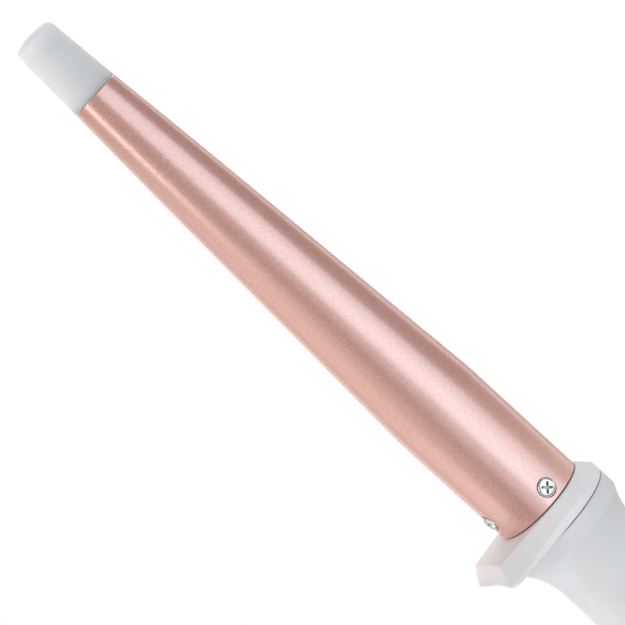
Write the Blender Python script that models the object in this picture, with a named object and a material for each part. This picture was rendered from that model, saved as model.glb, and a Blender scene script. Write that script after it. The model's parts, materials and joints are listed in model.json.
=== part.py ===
"""Curling wand: heated cone barrel, cool tip, collar with a rest foot, handle and swivelling cord inlet.

The wand is drawn along its own axis: X = 0 is the front face of the collar, the tip points to -X, the
handle to +X and the rest foot to -Z. The empty "wand_frame" then lays the whole wand on a table, on
the foot and the rear cap, with the tip raised. Angles round the axis start at the foot and turn
towards -Y. Lengths are in metres.
"""

import math

import bmesh
import bpy
from mathutils import Matrix, Vector

# Fineness of round shapes
WAND_SIDES = 40
CORE_SIDES = 28
SMALL_SIDES = 12
BUTTON_SIDES = 24

# Clearances between fixed neighbours and between close-fitting ones
GAP = 0.0003
CLOSE_GAP = 0.0001

# Heated barrel: a slightly bulged cone from the tip end to CONE_END_X, then a cylinder to the collar
BARREL_RADIUS = 0.0125
BARREL_TIP_RADIUS = 0.0066
BARREL_BULGE = 0.00016
CONE_STEPS = 8
BARREL_TIP_X = -0.1455
CONE_END_X = -0.0355
BARREL_BASE_X = -GAP
BARREL_WALL = 0.0009

# Cool tip
COOL_TIP_LENGTH = 0.0202
COOL_TIP_END_RADIUS = 0.0057
COOL_TIP_WALL = 0.0014
COOL_TIP_ROUNDING = 0.0017
COOL_TIP_CROWN = 0.0004
COOL_TIP_SPIGOT = 0.008

# Pan-head screws with a cross recess; each sits in a counterbore
SCREW_HEAD_RADIUS = 0.0023
SCREW_HEAD_HEIGHT = 0.00095
SCREW_SHANK_RADIUS = 0.00095
SCREW_LENGTH = 0.0029
SEAT_RADIUS = 0.0025
SEAT_DEPTH = 0.00045
CLEARANCE_HOLE_RADIUS = 0.00125
PILOT_HOLE_RADIUS = 0.00105
SCREW_LIFT = 0.00005
SCREW_HOLE_DEPTH = 0.0045
PILOT_DEPTH = 0.002
CUTTER_RISE = 0.003
BARREL_SCREWS = (
    ("barrel_screw_bottom", -0.006, 0.0, 0.2),
    ("barrel_screw_near_side", -0.0039, 92.4, 0.75),
    ("barrel_screw_far_side", -0.0039, 267.6, -0.3),
)

# Socket that holds the barrel
HOLDER_FRONT_X = -0.011
HOLDER_RADIUS = BARREL_RADIUS - BARREL_WALL - 0.00025
HOLDER_BORE_RADIUS = 0.008
HOLDER_FLANGE_RADIUS = 0.014
HOLDER_FLANGE_LENGTH = 0.0021
HOLDER_TAIL_RADIUS = 0.0102
HOLDER_TAIL_X = 0.013
HOLDER_LEAD_IN = 0.0005
HOLDER_FLANGE_X = 0.0057

# Collar and rest foot: depths and half widths are measured from the wand's axis
COLLAR_LENGTH = 0.0055
COLLAR_RADIUS = 0.0157
COLLAR_FRONT_RADIUS = 0.0129
COLLAR_CHAMFER = 0.0034
COLLAR_BORE_RADIUS = 0.01175
FOOT_CHAMFER = 0.0047
FOOT_DEPTH = 0.0231
FOOT_FRONT_DEPTH = 0.0207
FOOT_HALF_WIDTH = 0.0142
FOOT_FRONT_HALF_WIDTH = 0.0093
FOOT_CORNER = 0.0025
FOOT_FRONT_CORNER = 0.0007
FOOT_ARCH = 0.0006
FOOT_LAND = 0.003
FOOT_BLEND_TOP_Z = -0.005
FOOT_BLEND_HEIGHT = 0.015

# Handle sleeve
HANDLE_FRONT_X = COLLAR_LENGTH + 0.00025
BAND_END_X = 0.0102
GRIP_FRONT_RADIUS = 0.01285
GRIP_REAR_RADIUS = 0.0132
HANDLE_BORE_RADIUS = 0.0106
HANDLE_END_X = 0.1471
FLANGE_RECESS_RADIUS = HOLDER_FLANGE_RADIUS + 0.00025
FLANGE_RECESS_END_X = 0.0082
BELL_STEPS = 6
BELL_END_X = 0.0205
BELL_CURVE = 2.2
GRIP_PROFILE = ((0.045, 0.01295), (0.095, 0.01305))

# Rear cap
CAP_X = 0.1474
CAP_RADIUS = 0.0135
CAP_END_X = 0.1615
CAP_ROUND_X = 0.1575
CAP_ROUND_MIDDLE_X = 0.1599
CAP_ROUND_MIDDLE_RADIUS = 0.0119
CAP_END_RADIUS = 0.0102
CAP_SPIGOT_X = 0.1395
CAP_SPIGOT_RADIUS = HANDLE_BORE_RADIUS - GAP
CAP_CAVITY_RADIUS = 0.009
CAP_SHOULDER_X = 0.150
CAP_LAND_DEPTH = 0.00025
CAP_SCREW_X = 0.143
CAP_SCREW_SEAT = 0.0124
CAP_SCREWS = (("cap_screw_near_side", 90.0), ("cap_screw_far_side", 270.0))
CAP_SCREW_ROLL = 0.4

# Where the wand meets the table: a straight line along its underside
REST_SLOPE = (FOOT_DEPTH - CAP_RADIUS + CAP_LAND_DEPTH) / (CAP_X - COLLAR_LENGTH)

# Swivelling cord inlet
SWIVEL_FRONT_X = 0.126
SWIVEL_SPOOL_RADIUS = 0.0046
SWIVEL_FLANGE_RADIUS = 0.0087
SWIVEL_NECK_RADIUS = 0.007
SWIVEL_END_X = 0.1735
SWIVEL_NOSE_RADIUS = 0.0058
SWIVEL_END_RADIUS = 0.005
SWIVEL_END_CHAMFER = 0.0015
SWIVEL_FLANGE_X = CAP_X + CLOSE_GAP
CORD_BORE_RADIUS = 0.0038
WIRE_BORE_RADIUS = 0.003
CONTACT_RINGS = (("contact_ring_line", 0.130, 0.0064), ("contact_ring_neutral", 0.137, 0.0072))
RING_WIDTH = 0.003
BRUSH_FRONT_X = 0.112
BRUSH_HALF_HEIGHT = 0.0012
BRUSH_TAB_LENGTH = 0.004
BRUSH_THICKNESS = 0.0004
BRUSH_GAP = 0.0002
BRUSH_TAB_GAP = 0.00015

# Controls on top of the grip
PANEL_FRONT_X = 0.044
PANEL_REAR_X = 0.097
PANEL_HALF_WIDTH = 0.0055
PANEL_RADIUS = 0.01315
PANEL_FLOOR_Z = 0.0117
POCKET_GAP = 0.00015
CONTROL_CUT_LOW_Z = 0.007
CONTROL_CUT_HIGH_Z = 0.016
PANEL_CURVE_X = (0.04, 0.101)
BUTTONS = (("plus_button", 0.060), ("minus_button", 0.072), ("power_button", 0.087))
BUTTON_RADIUS = 0.0035
BUTTON_HOLE_RADIUS = 0.0037
BUTTON_FLANGE_RADIUS = 0.0044
BUTTON_FLANGE_HEIGHT = 0.0009
BUTTON_BASE_Z = 0.0085
BUTTON_EDGE_Z = 0.0134
BUTTON_TOP_Z = 0.0138
BUTTON_CROWN = 0.0001
BUTTON_TRAVEL = 0.0005
LENS_X = 0.0505
LENS_RADIUS = 0.0014
LENS_HOLE_RADIUS = 0.0016
LENS_BASE_Z = 0.0083
LENS_TOP_Z = PANEL_RADIUS + 0.0001

# Chassis tray and circuit board
TRAY_FRONT_X = 0.0135
TRAY_REAR_X = 0.136
TRAY_RADIUS = HANDLE_BORE_RADIUS - GAP
TRAY_WALL = 0.0012
TRAY_RIM_Z = 0.002
TRAY_STEPS = 18
BOARD_FRONT_X = 0.024
BOARD_REAR_X = 0.122
BOARD_HALF_WIDTH = 0.0092
BOARD_BASE_Z = TRAY_RIM_Z + GAP
BOARD_TOP_Z = BOARD_BASE_Z + 0.0016
PART_BASE_Z = BOARD_TOP_Z + CLOSE_GAP
SWITCH_HALF_WIDTH = 0.003
SWITCH_BODY_HEIGHT = 0.0032
SWITCH_PLUNGER_HALF_WIDTH = 0.0015
SWITCH_TOP_Z = BUTTON_BASE_Z - BUTTON_TRAVEL - CLOSE_GAP
# Plain blocks on the board: name, front, rear, half width, height
BOARD_BLOCKS = (
    ("power_switching_device", 0.032, 0.042, 0.0045, 0.0038),
    ("film_capacitor", 0.101, 0.113, 0.0032, 0.0052),
    ("controller_chip", 0.0935, 0.0985, 0.002, 0.0015),
    ("indicator_led", 0.0495, 0.0515, 0.001, 0.0012),
)

# Heater inside the barrel
SPREADER_FRONT_X = -0.098
SPREADER_REAR_X = -0.036
SPREADER_WALL = 0.0014
SPREADER_STEPS = 14
UPPER_WEB_Z = 0.0015
LOWER_WEB_Z = 0.0027
ELEMENT_FRONT_X = -0.092
ELEMENT_REAR_X = -0.042
ELEMENT_HALF_WIDTH = 0.005
ELEMENT_HALF_THICKNESS = 0.00055
FILM_GAP = 0.00025
FILM_THICKNESS = 0.0004
FILM_OVERHANG = 0.002
SPRING_FRONT_X = -0.088
SPRING_REAR_X = -0.046
SPRING_HALF_WIDTH = 0.003
SPRING_THICKNESS = 0.00025
SPRING_WAVES = 3
SPRING_STEPS = 24
THERMISTOR_PLACE = (-0.060, 0.0, 0.0046)
THERMISTOR_RADIUS = 0.0012
THERMISTOR_LENGTH = 0.005
FUSE_PLACE = (-0.052, 0.0, -0.0062)
FUSE_RADIUS = 0.0016
FUSE_LENGTH = 0.010

# Leads: each runs from its part in the barrel, through the holder, to the front of the board
LEAD_RADIUS = 0.0006
LEAD_DIP_X = 0.019
LEAD_END_X = BOARD_FRONT_X + 0.003
LEAD_END_Z = PART_BASE_Z + LEAD_RADIUS
LEAD_ROUTES = {
    "heater_lead_line": (
        (-0.0417, 0.003, 0.0),
        (-0.030, 0.003, 0.0),
        (-0.010, 0.004, 0.0),
        (0.012, 0.005, 0.003),
        (LEAD_DIP_X, 0.005, LEAD_END_Z),
        (LEAD_END_X, 0.005, LEAD_END_Z),
    ),
    "heater_lead_neutral": (
        (-0.0465, 0.0, -0.0062),
        (-0.030, -0.001, -0.0055),
        (-0.010, -0.004, -0.002),
        (0.012, -0.005, 0.003),
        (LEAD_DIP_X, -0.005, LEAD_END_Z),
        (LEAD_END_X, -0.005, LEAD_END_Z),
    ),
    "sensor_lead": (
        (-0.0571, 0.0, 0.0046),
        (-0.030, 0.0, 0.0046),
        (-0.010, 0.0, 0.0046),
        (0.012, 0.0, 0.0046),
        (LEAD_DIP_X, 0.0, LEAD_END_Z),
        (LEAD_END_X, 0.0, LEAD_END_Z),
    ),
}


def clear_scene():
    for item in list(bpy.data.objects):
        bpy.data.objects.remove(item, do_unlink=True)


def make_material(name, colour, roughness, metallic=0.0):
    material = bpy.data.materials.new(name)
    material.use_nodes = True
    shader = material.node_tree.nodes["Principled BSDF"]
    shader.inputs["Base Color"].default_value = (*colour, 1.0)
    shader.inputs["Roughness"].default_value = roughness
    shader.inputs["Metallic"].default_value = metallic
    material.diffuse_color = (*colour, 1.0)
    return material


def make_object(name, shape, material=None):
    """Turn a bmesh into an object whose faces all point outwards."""
    bmesh.ops.recalc_face_normals(shape, faces=shape.faces)
    mesh = bpy.data.meshes.new(name)
    shape.to_mesh(mesh)
    shape.free()
    item = bpy.data.objects.new(name, mesh)
    bpy.context.scene.collection.objects.link(item)
    if material:
        mesh.materials.append(material)
    return item


def bridge(shape, ring, following):
    """Join two rings of vertices with faces; a ring of one vertex is a pole."""
    count = max(len(ring), len(following))
    if count == 1:
        return
    for i in range(count):
        j = (i + 1) % count
        corners = [
            ring[i % len(ring)],
            ring[j % len(ring)],
            following[j % len(following)],
            following[i % len(following)],
        ]
        shape.faces.new(list(dict.fromkeys(corners)))


def add_loops(shape, loops, closed):
    """Skin a row of point loops, as a closed ring of loops or with flat ends."""
    rings = []
    for loop in loops:
        rings.append([shape.verts.new(point) for point in loop])
    for ring, following in zip(rings, rings[1:]):
        bridge(shape, ring, following)
    if closed:
        bridge(shape, rings[-1], rings[0])
        return
    for ring in (rings[0], rings[-1]):
        if len(ring) > 2:
            shape.faces.new(ring)


def turned_loops(profile, sides, axis):
    """Loops of a turned shape from (position along the axis, radius) pairs."""
    loops = []
    for along, radius in profile:
        if radius == 0.0:
            loops.append([(along, 0.0, 0.0) if axis == "X" else (0.0, 0.0, along)])
            continue
        loop = []
        for i in range(sides):
            angle = 2.0 * math.pi * i / sides
            across = radius * math.sin(angle)
            up = -radius * math.cos(angle)
            loop.append((along, across, up) if axis == "X" else (across, up, along))
        loops.append(loop)
    return loops


def turned(name, profile, material=None, sides=WAND_SIDES, axis="X"):
    """A turned body; a profile that never reaches the axis is a closed outline, as of a tube."""
    shape = bmesh.new()
    tube = all(radius > 0.0 for _, radius in profile)
    add_loops(shape, turned_loops(profile, sides, axis), closed=tube)
    return make_object(name, shape, material)


def rod(name, profile, material=None, sides=SMALL_SIDES, axis="Z"):
    """A solid turned body with flat ends."""
    shape = bmesh.new()
    add_loops(shape, turned_loops(profile, sides, axis), closed=False)
    return make_object(name, shape, material)


def block(name, x_range, y_range, z_range, material=None):
    """A plain box between two limits on each axis."""
    shape = bmesh.new()
    add_loops(shape, [rectangle(x, y_range, z_range) for x in x_range], closed=False)
    return make_object(name, shape, material)


def rectangle(x, y_range, z_range):
    return [
        (x, y_range[0], z_range[0]),
        (x, y_range[1], z_range[0]),
        (x, y_range[1], z_range[1]),
        (x, y_range[0], z_range[1]),
    ]


def carve(target, tool, operation="DIFFERENCE"):
    """Apply a Boolean with the tool, which is used up."""
    modifier = target.modifiers.new("carve", "BOOLEAN")
    modifier.operation = operation
    modifier.solver = "EXACT"
    modifier.object = tool
    bpy.context.view_layer.update()
    graph = bpy.context.evaluated_depsgraph_get()
    carved = bpy.data.meshes.new_from_object(target.evaluated_get(graph))
    plain = target.data
    target.modifiers.clear()
    target.data = carved
    bpy.data.meshes.remove(plain)
    bpy.data.objects.remove(tool, do_unlink=True)


def radial_place(x, degrees, radius):
    """Matrix that stands a shape's +Z outwards at an angle round the wand, counted from the foot."""
    angle = math.radians(degrees)
    outwards = Vector((0.0, -math.sin(angle), -math.cos(angle)))
    spot = Vector((x, 0.0, 0.0)) + outwards * radius
    return Matrix.Translation(spot) @ Matrix.Rotation(math.pi - angle, 4, "X")


def cone_point(t):
    """Outer (x, radius) of the barrel's cone; t runs from 0 at its tip end to 1 at the cylinder."""
    x = BARREL_TIP_X + (CONE_END_X - BARREL_TIP_X) * t
    straight = BARREL_TIP_RADIUS + (BARREL_RADIUS - BARREL_TIP_RADIUS) * t
    return x, straight + BARREL_BULGE * math.sin(math.pi * (1.0 - t) ** 2)


def bore_radius_at(x):
    """Inner radius of the barrel at a place along its cone, where the wall inside is straight."""
    t = (x - BARREL_TIP_X) / (CONE_END_X - BARREL_TIP_X)
    return BARREL_TIP_RADIUS + (BARREL_RADIUS - BARREL_TIP_RADIUS) * t - BARREL_WALL


def table_z(x):
    """Height of the table below the wand's axis, in the wand's own frame."""
    return -FOOT_DEPTH + (x - COLLAR_LENGTH) * REST_SLOPE


def screw_hole_tool(places, steps):
    """Stepped cutters for a set of screws: steps are (height, radius) pairs from the inside out."""
    shape = bmesh.new()
    for x, degrees, radius in places:
        hole = bmesh.new()
        add_loops(hole, turned_loops(steps, SMALL_SIDES, "Z"), closed=False)
        hole.transform(radial_place(x, degrees, radius))
        part = bpy.data.meshes.new("hole")
        hole.to_mesh(part)
        hole.free()
        shape.from_mesh(part)
        bpy.data.meshes.remove(part)
    return make_object("screw_hole_tool", shape)


def counterbore_steps():
    return (
        (-SCREW_HOLE_DEPTH, CLEARANCE_HOLE_RADIUS),
        (0.0, CLEARANCE_HOLE_RADIUS),
        (0.0, SEAT_RADIUS),
        (CUTTER_RISE, SEAT_RADIUS),
    )


def make_screw_mesh(material):
    """Pan-head screw along Z with its head's underside at Z = 0 and a cross recess."""
    head = SCREW_HEAD_HEIGHT
    rim = SCREW_HEAD_RADIUS
    shank = SCREW_SHANK_RADIUS
    profile = (
        (-SCREW_LENGTH, shank * 0.5),
        (-SCREW_LENGTH + shank * 0.5, shank),
        (0.0, shank),
        (0.0, rim),
        (head * 0.4, rim),
        (head * 0.72, rim * 0.9),
        (head, rim * 0.62),
    )
    screw = rod("screw", profile, material)
    long_arm = rim * 0.56
    half_arm = rim * 0.14
    loops = []
    for height, size in ((head * 0.25, 0.55), (head * 1.2, 1.1)):
        arm = long_arm * size
        loop = []
        for quarter in range(4):
            turn = Matrix.Rotation(quarter * math.pi / 2.0, 3, "Z")
            for point in ((half_arm, half_arm), (arm, half_arm), (arm, -half_arm)):
                loop.append(turn @ Vector((point[0], point[1], height)))
        loops.append(sorted(loop, key=lambda point: math.atan2(point.y, point.x)))
    shape = bmesh.new()
    add_loops(shape, loops, closed=False)
    carve(screw, make_object("recess_tool", shape))
    mesh = screw.data
    bpy.data.objects.remove(screw, do_unlink=True)
    return mesh


def place_screw(name, mesh, x, degrees, radius, roll):
    screw = bpy.data.objects.new(name, mesh)
    bpy.context.scene.collection.objects.link(screw)
    turn = Matrix.Rotation(roll, 4, "Z")
    screw.matrix_world = radial_place(x, degrees, radius + SCREW_LIFT) @ turn
    return screw


def make_barrel(material):
    inner = BARREL_RADIUS - BARREL_WALL
    profile = [cone_point(i / CONE_STEPS) for i in range(CONE_STEPS + 1)]
    profile += [
        (BARREL_BASE_X, BARREL_RADIUS),
        (BARREL_BASE_X, inner),
        (CONE_END_X, inner),
        (BARREL_TIP_X, BARREL_TIP_RADIUS - BARREL_WALL),
    ]
    barrel = turned("barrel", profile, material)
    seat = BARREL_RADIUS - SEAT_DEPTH
    places = [(x, degrees, seat) for _, x, degrees, _ in BARREL_SCREWS]
    carve(barrel, screw_hole_tool(places, counterbore_steps()))
    return barrel


def make_cool_tip(material):
    """Cap with a rounded, slightly crowned end and a hollow spigot inside the barrel."""
    seam = BARREL_TIP_X - GAP
    end = BARREL_TIP_X - COOL_TIP_LENGTH
    spigot = BARREL_TIP_RADIUS - BARREL_WALL - GAP
    spigot_x = BARREL_TIP_X + COOL_TIP_SPIGOT
    hollow_x = end + 2.0 * COOL_TIP_WALL
    flat = COOL_TIP_END_RADIUS - COOL_TIP_ROUNDING
    profile = [(end - COOL_TIP_CROWN, 0.0)]
    profile.append((end, flat))
    for degrees in (30.0, 60.0, 90.0):
        angle = math.radians(degrees)
        along = end + COOL_TIP_ROUNDING * (1.0 - math.cos(angle))
        profile.append((along, flat + COOL_TIP_ROUNDING * math.sin(angle)))
    profile += [
        (seam, BARREL_TIP_RADIUS),
        (seam, spigot),
        (spigot_x, spigot),
        (spigot_x, spigot - COOL_TIP_WALL),
        (seam, spigot - COOL_TIP_WALL),
        (hollow_x, COOL_TIP_END_RADIUS - 2.0 * COOL_TIP_WALL),
        (hollow_x, 0.0),
    ]
    return turned("cool_tip", profile, material)


def make_holder(material):
    flange_x = HOLDER_FLANGE_X
    flange_end_x = flange_x + HOLDER_FLANGE_LENGTH
    holder = turned(
        "barrel_holder",
        (
            (HOLDER_FRONT_X, HOLDER_RADIUS - HOLDER_LEAD_IN),
            (HOLDER_FRONT_X + HOLDER_LEAD_IN, HOLDER_RADIUS),
            (flange_x, HOLDER_RADIUS),
            (flange_x, HOLDER_FLANGE_RADIUS),
            (flange_end_x, HOLDER_FLANGE_RADIUS),
            (flange_end_x, HOLDER_TAIL_RADIUS),
            (HOLDER_TAIL_X, HOLDER_TAIL_RADIUS),
            (HOLDER_TAIL_X, HOLDER_BORE_RADIUS),
            (HOLDER_FRONT_X, HOLDER_BORE_RADIUS),
        ),
        material,
        CORE_SIDES,
    )
    places = [(x, degrees, HOLDER_RADIUS) for _, x, degrees, _ in BARREL_SCREWS]
    steps = ((-SCREW_HOLE_DEPTH, PILOT_HOLE_RADIUS), (CUTTER_RISE, PILOT_HOLE_RADIUS))
    carve(holder, screw_hole_tool(places, steps))
    return holder


def collar_outline(radius, half_width, depth, corner, arch):
    """D-shaped outline as (y, z) points: a round top that runs down to a foot with rounded corners."""
    arc_steps, side_steps, corner_steps, arch_steps = 14, 6, 4, 4
    corner_y = half_width - corner
    corner_z = depth - corner
    reach = math.hypot(corner_y, corner_z)
    lean = math.atan2(corner_y, corner_z) + math.acos((radius - corner) / reach)
    side = []
    for i in range(arc_steps + 1):
        angle = math.pi + (lean - math.pi) * i / arc_steps
        side.append((radius * math.sin(angle), -radius * math.cos(angle)))
    top = Vector(side[-1])
    bottom = Vector((corner_y + corner * math.sin(lean), -corner_z - corner * math.cos(lean)))
    for i in range(1, side_steps):
        side.append(tuple(top.lerp(bottom, i / side_steps)))
    for i in range(corner_steps + 1):
        angle = lean * (1.0 - i / corner_steps)
        side.append((corner_y + corner * math.sin(angle), -corner_z - corner * math.cos(angle)))
    land = corner_y - FOOT_LAND
    for i in range(arch_steps + 1):
        across = land * (1.0 - i / arch_steps)
        side.append((across, -depth + arch * (1.0 - (across / land) ** 2)))
    return side + [(-y, z) for y, z in reversed(side[1:-1])]


def make_collar(material):
    front = collar_outline(
        COLLAR_FRONT_RADIUS, FOOT_FRONT_HALF_WIDTH, FOOT_FRONT_DEPTH, FOOT_FRONT_CORNER, FOOT_ARCH * 0.5
    )
    rim = collar_outline(COLLAR_RADIUS, FOOT_HALF_WIDTH, FOOT_DEPTH, FOOT_CORNER, FOOT_ARCH)
    shoulder = []
    back = []
    bore = []
    for y, z in rim:
        blend = min(max((FOOT_BLEND_TOP_Z - z) / FOOT_BLEND_HEIGHT, 0.0), 1.0)
        x = COLLAR_CHAMFER + (FOOT_CHAMFER - COLLAR_CHAMFER) * blend
        settle = (COLLAR_LENGTH - x) * REST_SLOPE * blend
        shoulder.append((x, y, z - settle))
        back.append((COLLAR_LENGTH, y, z))
        reach = math.hypot(y, z)
        bore.append((y * COLLAR_BORE_RADIUS / reach, z * COLLAR_BORE_RADIUS / reach))
    loops = [
        [(0.0, y, z) for y, z in front],
        shoulder,
        back,
        [(COLLAR_LENGTH, y, z) for y, z in bore],
        [(0.0, y, z) for y, z in bore],
    ]
    shape = bmesh.new()
    add_loops(shape, loops, closed=True)
    return make_object("collar_stand", shape, material)


def racetrack_tool(name, grow, z_range):
    """Upright prism with round ends over the control panel's footprint."""
    radius = PANEL_HALF_WIDTH + grow
    front = PANEL_FRONT_X + PANEL_HALF_WIDTH
    rear = PANEL_REAR_X - PANEL_HALF_WIDTH
    steps = BUTTON_SIDES // 3
    outline = []
    for centre, start in ((rear, -90.0), (front, 90.0)):
        for i in range(steps + 1):
            angle = math.radians(start + 180.0 * i / steps)
            outline.append((centre + radius * math.cos(angle), radius * math.sin(angle)))
    shape = bmesh.new()
    add_loops(shape, [[(x, y, z) for x, y in outline] for z in z_range], closed=False)
    return make_object(name, shape)


def control_holes_tool():
    """Upright cutters for the three buttons and the indicator lens."""
    shape = bmesh.new()
    holes = [(x, BUTTON_HOLE_RADIUS, BUTTON_SIDES) for _, x in BUTTONS]
    holes.append((LENS_X, LENS_HOLE_RADIUS, SMALL_SIDES))
    for x, radius, sides in holes:
        loops = turned_loops(((CONTROL_CUT_LOW_Z, radius), (CONTROL_CUT_HIGH_Z, radius)), sides, "Z")
        add_loops(shape, [[(x + a, b, c) for a, b, c in loop] for loop in loops], closed=False)
    return make_object("control_holes_tool", shape)


def handle_outer_profile():
    """Front band, concave bell that narrows to the grip, then the grip."""
    profile = [(HANDLE_FRONT_X, COLLAR_RADIUS), (BAND_END_X, COLLAR_RADIUS)]
    drop = COLLAR_RADIUS - GRIP_FRONT_RADIUS
    for i in range(1, BELL_STEPS + 1):
        t = i / BELL_STEPS
        x = BAND_END_X + (BELL_END_X - BAND_END_X) * t
        profile.append((x, GRIP_FRONT_RADIUS + drop * (1.0 - t) ** BELL_CURVE))
    profile += GRIP_PROFILE
    profile.append((HANDLE_END_X, GRIP_REAR_RADIUS))
    return profile


def make_handle_sleeve(material):
    profile = handle_outer_profile() + [
        (HANDLE_END_X, HANDLE_BORE_RADIUS),
        (FLANGE_RECESS_END_X, HANDLE_BORE_RADIUS),
        (FLANGE_RECESS_END_X, FLANGE_RECESS_RADIUS),
        (HANDLE_FRONT_X, FLANGE_RECESS_RADIUS),
    ]
    sleeve = turned("handle_sleeve", profile, material)
    carve(sleeve, racetrack_tool("pocket_tool", POCKET_GAP, (PANEL_FLOOR_Z, CONTROL_CUT_HIGH_Z)))
    carve(sleeve, control_holes_tool())
    places = [(CAP_SCREW_X, degrees, CAP_SCREW_SEAT) for _, degrees in CAP_SCREWS]
    carve(sleeve, screw_hole_tool(places, counterbore_steps()))
    return sleeve


def make_control_panel(material):
    """Inlay whose top follows the grip's curve, with holes for the buttons and the lens."""
    panel = racetrack_tool("control_panel", 0.0, (PANEL_FLOOR_Z + CLOSE_GAP, CONTROL_CUT_HIGH_Z))
    panel.data.materials.append(material)
    curve = rod("curve_tool", [(x, PANEL_RADIUS) for x in PANEL_CURVE_X], None, 2 * CORE_SIDES, "X")
    carve(panel, curve, "INTERSECT")
    carve(panel, control_holes_tool())
    return panel


def make_button(name, x, material):
    """Round button with a retaining flange; its origin is on its line of travel."""
    button = rod(
        name,
        (
            (0.0, BUTTON_FLANGE_RADIUS),
            (BUTTON_FLANGE_HEIGHT, BUTTON_FLANGE_RADIUS),
            (BUTTON_FLANGE_HEIGHT, BUTTON_RADIUS),
            (BUTTON_EDGE_Z - BUTTON_BASE_Z, BUTTON_RADIUS),
            (BUTTON_TOP_Z - BUTTON_BASE_Z - BUTTON_CROWN, BUTTON_RADIUS * 0.85),
            (BUTTON_TOP_Z - BUTTON_BASE_Z, BUTTON_RADIUS * 0.5),
        ),
        material,
        BUTTON_SIDES,
    )
    button.location = (x, 0.0, BUTTON_BASE_Z)
    return button


def make_indicator_lens(material):
    profile = ((LENS_BASE_Z, LENS_RADIUS), (LENS_TOP_Z, LENS_RADIUS))
    lens = rod("indicator_lens", profile, material)
    lens.location = (LENS_X, 0.0, 0.0)
    return lens


def make_rear_cap(material):
    """Cap whose lowest line runs along the table, with a narrow flat pressed into it."""
    profile = [
        (CAP_SPIGOT_X, CAP_SPIGOT_RADIUS),
        (CAP_X, CAP_SPIGOT_RADIUS),
        (CAP_X, CAP_RADIUS),
        (CAP_ROUND_X, CAP_RADIUS - (CAP_ROUND_X - CAP_X) * REST_SLOPE),
        (CAP_ROUND_MIDDLE_X, CAP_ROUND_MIDDLE_RADIUS),
        (CAP_END_X, CAP_END_RADIUS),
        (CAP_END_X, SWIVEL_NECK_RADIUS + GAP),
        (CAP_SHOULDER_X, SWIVEL_NECK_RADIUS + GAP),
        (CAP_SHOULDER_X, CAP_CAVITY_RADIUS),
        (CAP_SPIGOT_X, CAP_CAVITY_RADIUS),
    ]
    cap = turned("rear_cap", profile, material)
    for vertex in cap.data.vertices:
        vertex.co.z = max(vertex.co.z, table_z(vertex.co.x))
    places = [(CAP_SCREW_X, degrees, CAP_SPIGOT_RADIUS) for _, degrees in CAP_SCREWS]
    steps = ((-PILOT_DEPTH, PILOT_HOLE_RADIUS), (CUTTER_RISE, PILOT_HOLE_RADIUS))
    carve(cap, screw_hole_tool(places, steps))
    return cap


def make_cord_swivel(material):
    """Hollow rotor: a spool for the rings, a flange behind the cap's shoulder and a tapered nose."""
    neck_x = CAP_SHOULDER_X - GAP
    profile = [
        (SWIVEL_FRONT_X, SWIVEL_SPOOL_RADIUS),
        (SWIVEL_FLANGE_X, SWIVEL_SPOOL_RADIUS),
        (SWIVEL_FLANGE_X, SWIVEL_FLANGE_RADIUS),
        (neck_x, SWIVEL_FLANGE_RADIUS),
        (neck_x, SWIVEL_NECK_RADIUS),
        (CAP_END_X, SWIVEL_NECK_RADIUS),
        (SWIVEL_END_X - SWIVEL_END_CHAMFER, SWIVEL_NOSE_RADIUS),
        (SWIVEL_END_X, SWIVEL_END_RADIUS),
        (SWIVEL_END_X, CORD_BORE_RADIUS),
        (CAP_SHOULDER_X, CORD_BORE_RADIUS),
        (CAP_SHOULDER_X, WIRE_BORE_RADIUS),
        (SWIVEL_FRONT_X, WIRE_BORE_RADIUS),
    ]
    return turned("cord_swivel", profile, material, CORE_SIDES)


def make_contact_rings(material, swivel):
    inner = SWIVEL_SPOOL_RADIUS + CLOSE_GAP
    for name, x, radius in CONTACT_RINGS:
        outline = ((0.0, radius), (RING_WIDTH, radius), (RING_WIDTH, inner), (0.0, inner))
        ring = turned(name, outline, material, BUTTON_SIDES)
        ring.location = (x, 0.0, 0.0)
        ring.parent = swivel


def make_brushes(material):
    """Spring strips beside the rings, each with a tab that reaches the board."""
    for name, side, (_, ring_x, radius) in zip(("brush_line", "brush_neutral"), (-1.0, 1.0), CONTACT_RINGS):
        end = ring_x + RING_WIDTH
        tab_x = BRUSH_FRONT_X + BRUSH_TAB_LENGTH
        tab_z = BOARD_BASE_Z - BRUSH_TAB_GAP
        outline = (
            (BRUSH_FRONT_X, -BRUSH_HALF_HEIGHT),
            (end, -BRUSH_HALF_HEIGHT),
            (end, BRUSH_HALF_HEIGHT),
            (tab_x, BRUSH_HALF_HEIGHT),
            (tab_x, tab_z),
            (BRUSH_FRONT_X, tab_z),
        )
        near = side * (radius + BRUSH_GAP)
        loops = [[(x, y, z) for x, z in outline] for y in (near, near + side * BRUSH_THICKNESS)]
        shape = bmesh.new()
        add_loops(shape, loops, closed=False)
        make_object(name, shape, material)


def make_chassis_tray(material):
    """Trough that fills the lower half of the handle; the board lies on its rims."""
    loops = []
    outer_limit = math.acos(-TRAY_RIM_Z / TRAY_RADIUS)
    inner = TRAY_RADIUS - TRAY_WALL
    inner_limit = math.acos(-TRAY_RIM_Z / inner)
    for x in (TRAY_FRONT_X, TRAY_REAR_X):
        loop = []
        for i in range(TRAY_STEPS + 1):
            angle = outer_limit * (2.0 * i / TRAY_STEPS - 1.0)
            loop.append((x, TRAY_RADIUS * math.sin(angle), -TRAY_RADIUS * math.cos(angle)))
        for i in range(TRAY_STEPS + 1):
            angle = inner_limit * (1.0 - 2.0 * i / TRAY_STEPS)
            loop.append((x, inner * math.sin(angle), -inner * math.cos(angle)))
        loops.append(loop)
    shape = bmesh.new()
    add_loops(shape, loops, closed=False)
    return make_object("chassis_tray", shape, material)


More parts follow.
